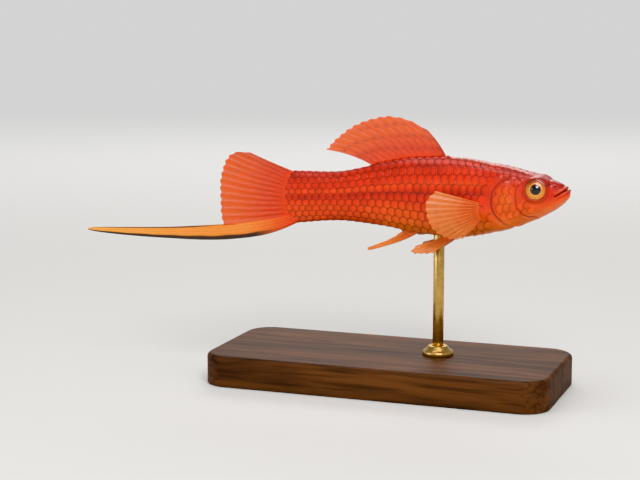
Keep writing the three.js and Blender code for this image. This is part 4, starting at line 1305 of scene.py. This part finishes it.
# ---- floor, light and camera ---------------------------------------------------------------------------------------------------
bpy.ops.mesh.primitive_plane_add(size=12, location=(0, 0, 0))
floor = bpy.context.active_object
floor.name = "floor"
m, t, b = new_material("floor_pale")
b.inputs["Base Color"].default_value = (0.60, 0.597, 0.59, 1)
b.inputs["Roughness"].default_value = 0.9
b.inputs["Specular IOR Level"].default_value = 0.1
far = t.nodes.new("ShaderNodeTexCoord")
apart = t.nodes.new("ShaderNodeVectorMath")
apart.operation = "LENGTH"
t.links.new(far.outputs["Object"], apart.inputs[0])
fade = t.nodes.new("ShaderNodeMapRange")
fade.interpolation_type = "SMOOTHSTEP"
fade.inputs["From Min"].default_value = 0.18
fade.inputs["From Max"].default_value = 1.1
fade.inputs["To Min"].default_value = 1.0
fade.inputs["To Max"].default_value = 0.0
t.links.new(apart.outputs["Value"], fade.inputs["Value"])
t.links.new(fade.outputs["Result"], b.inputs["Alpha"])
glow = t.nodes.new("ShaderNodeMapRange")
glow.interpolation_type = "SMOOTHSTEP"
glow.inputs["From Min"].default_value = 0.14
glow.inputs["From Max"].default_value = 0.75
glow.inputs["To Min"].default_value = 0.0
glow.inputs["To Max"].default_value = 0.40
t.links.new(apart.outputs["Value"], glow.inputs["Value"])
b.inputs["Emission Color"].default_value = (1.0, 0.995, 0.985, 1)
t.links.new(glow.outputs["Result"], b.inputs["Emission Strength"])
floor.data.materials.append(m)

WALL, CEILING = 0.70, 0.30
scene = bpy.context.scene
w = bpy.data.worlds.new("studio")
scene.world = w
w.use_nodes = True
# a pale wall round the horizon that the floor runs out into, and a dimmer ceiling over it
sky = w.node_tree
way = sky.nodes.new("ShaderNodeTexCoord")
split = sky.nodes.new("ShaderNodeSeparateXYZ")
sky.links.new(way.outputs["Generated"], split.inputs["Vector"])
rise = sky.nodes.new("ShaderNodeMapRange")
rise.interpolation_type = "SMOOTHSTEP"
rise.inputs["From Min"].default_value = 0.12
rise.inputs["From Max"].default_value = 0.6
rise.inputs["To Min"].default_value = WALL
rise.inputs["To Max"].default_value = CEILING
sky.links.new(split.outputs["Z"], rise.inputs["Value"])
sky.nodes["Background"].inputs["Color"].default_value = (0.99, 0.99, 0.99, 1)
sky.links.new(rise.outputs["Result"], sky.nodes["Background"].inputs["Strength"])


def area(name, place, target, size, power, colour=(1, 1, 1)):
    l = bpy.data.lights.new(name, "AREA")
    l.shape = "RECTANGLE"
    l.size, l.size_y = size
    l.energy = power
    l.color = colour
    o = bpy.data.objects.new(name, l)
    o.location = place
    o.rotation_euler = (Vector(target) - Vector(place)).to_track_quat("-Z", "Y").to_euler()
    scene.collection.objects.link(o)


aim = (0.0, 0, 0.035)
area("key", (0.22, -0.42, 0.48), aim, (0.34, 0.34), 3.6, (1.0, 0.975, 0.94))
area("fill", (-0.5, -0.35, 0.22), aim, (0.4, 0.3), 0.9, (0.94, 0.97, 1.0))
area("rim", (-0.15, 0.5, 0.38), aim, (0.4, 0.25), 1.25, (1.0, 0.98, 0.95))
area("top", (0.0, 0.0, 0.65), aim, (0.5, 0.3), 1.4)

scene.view_settings.view_transform = "Khronos PBR Neutral"
scene.view_settings.look = "None"
scene.view_settings.exposure = 0.0

cam = bpy.data.cameras.new("camera")
cam.lens = 90
cam.clip_start, cam.clip_end = 0.01, 20
cam_o = bpy.data.objects.new("camera", cam)
scene.collection.objects.link(cam_o)
scene.camera = cam_o
azimuth, elevation, reach = math.radians(20), math.radians(9), 0.36
target = Vector((-0.0165, 0, 0.0315))
back = Vector((math.sin(azimuth) * math.cos(elevation), -math.cos(azimuth) * math.cos(elevation), math.sin(elevation)))
cam_o.location = target + back * reach
cam_o.rotation_euler = (-back).to_track_quat("-Z", "Y").to_euler()
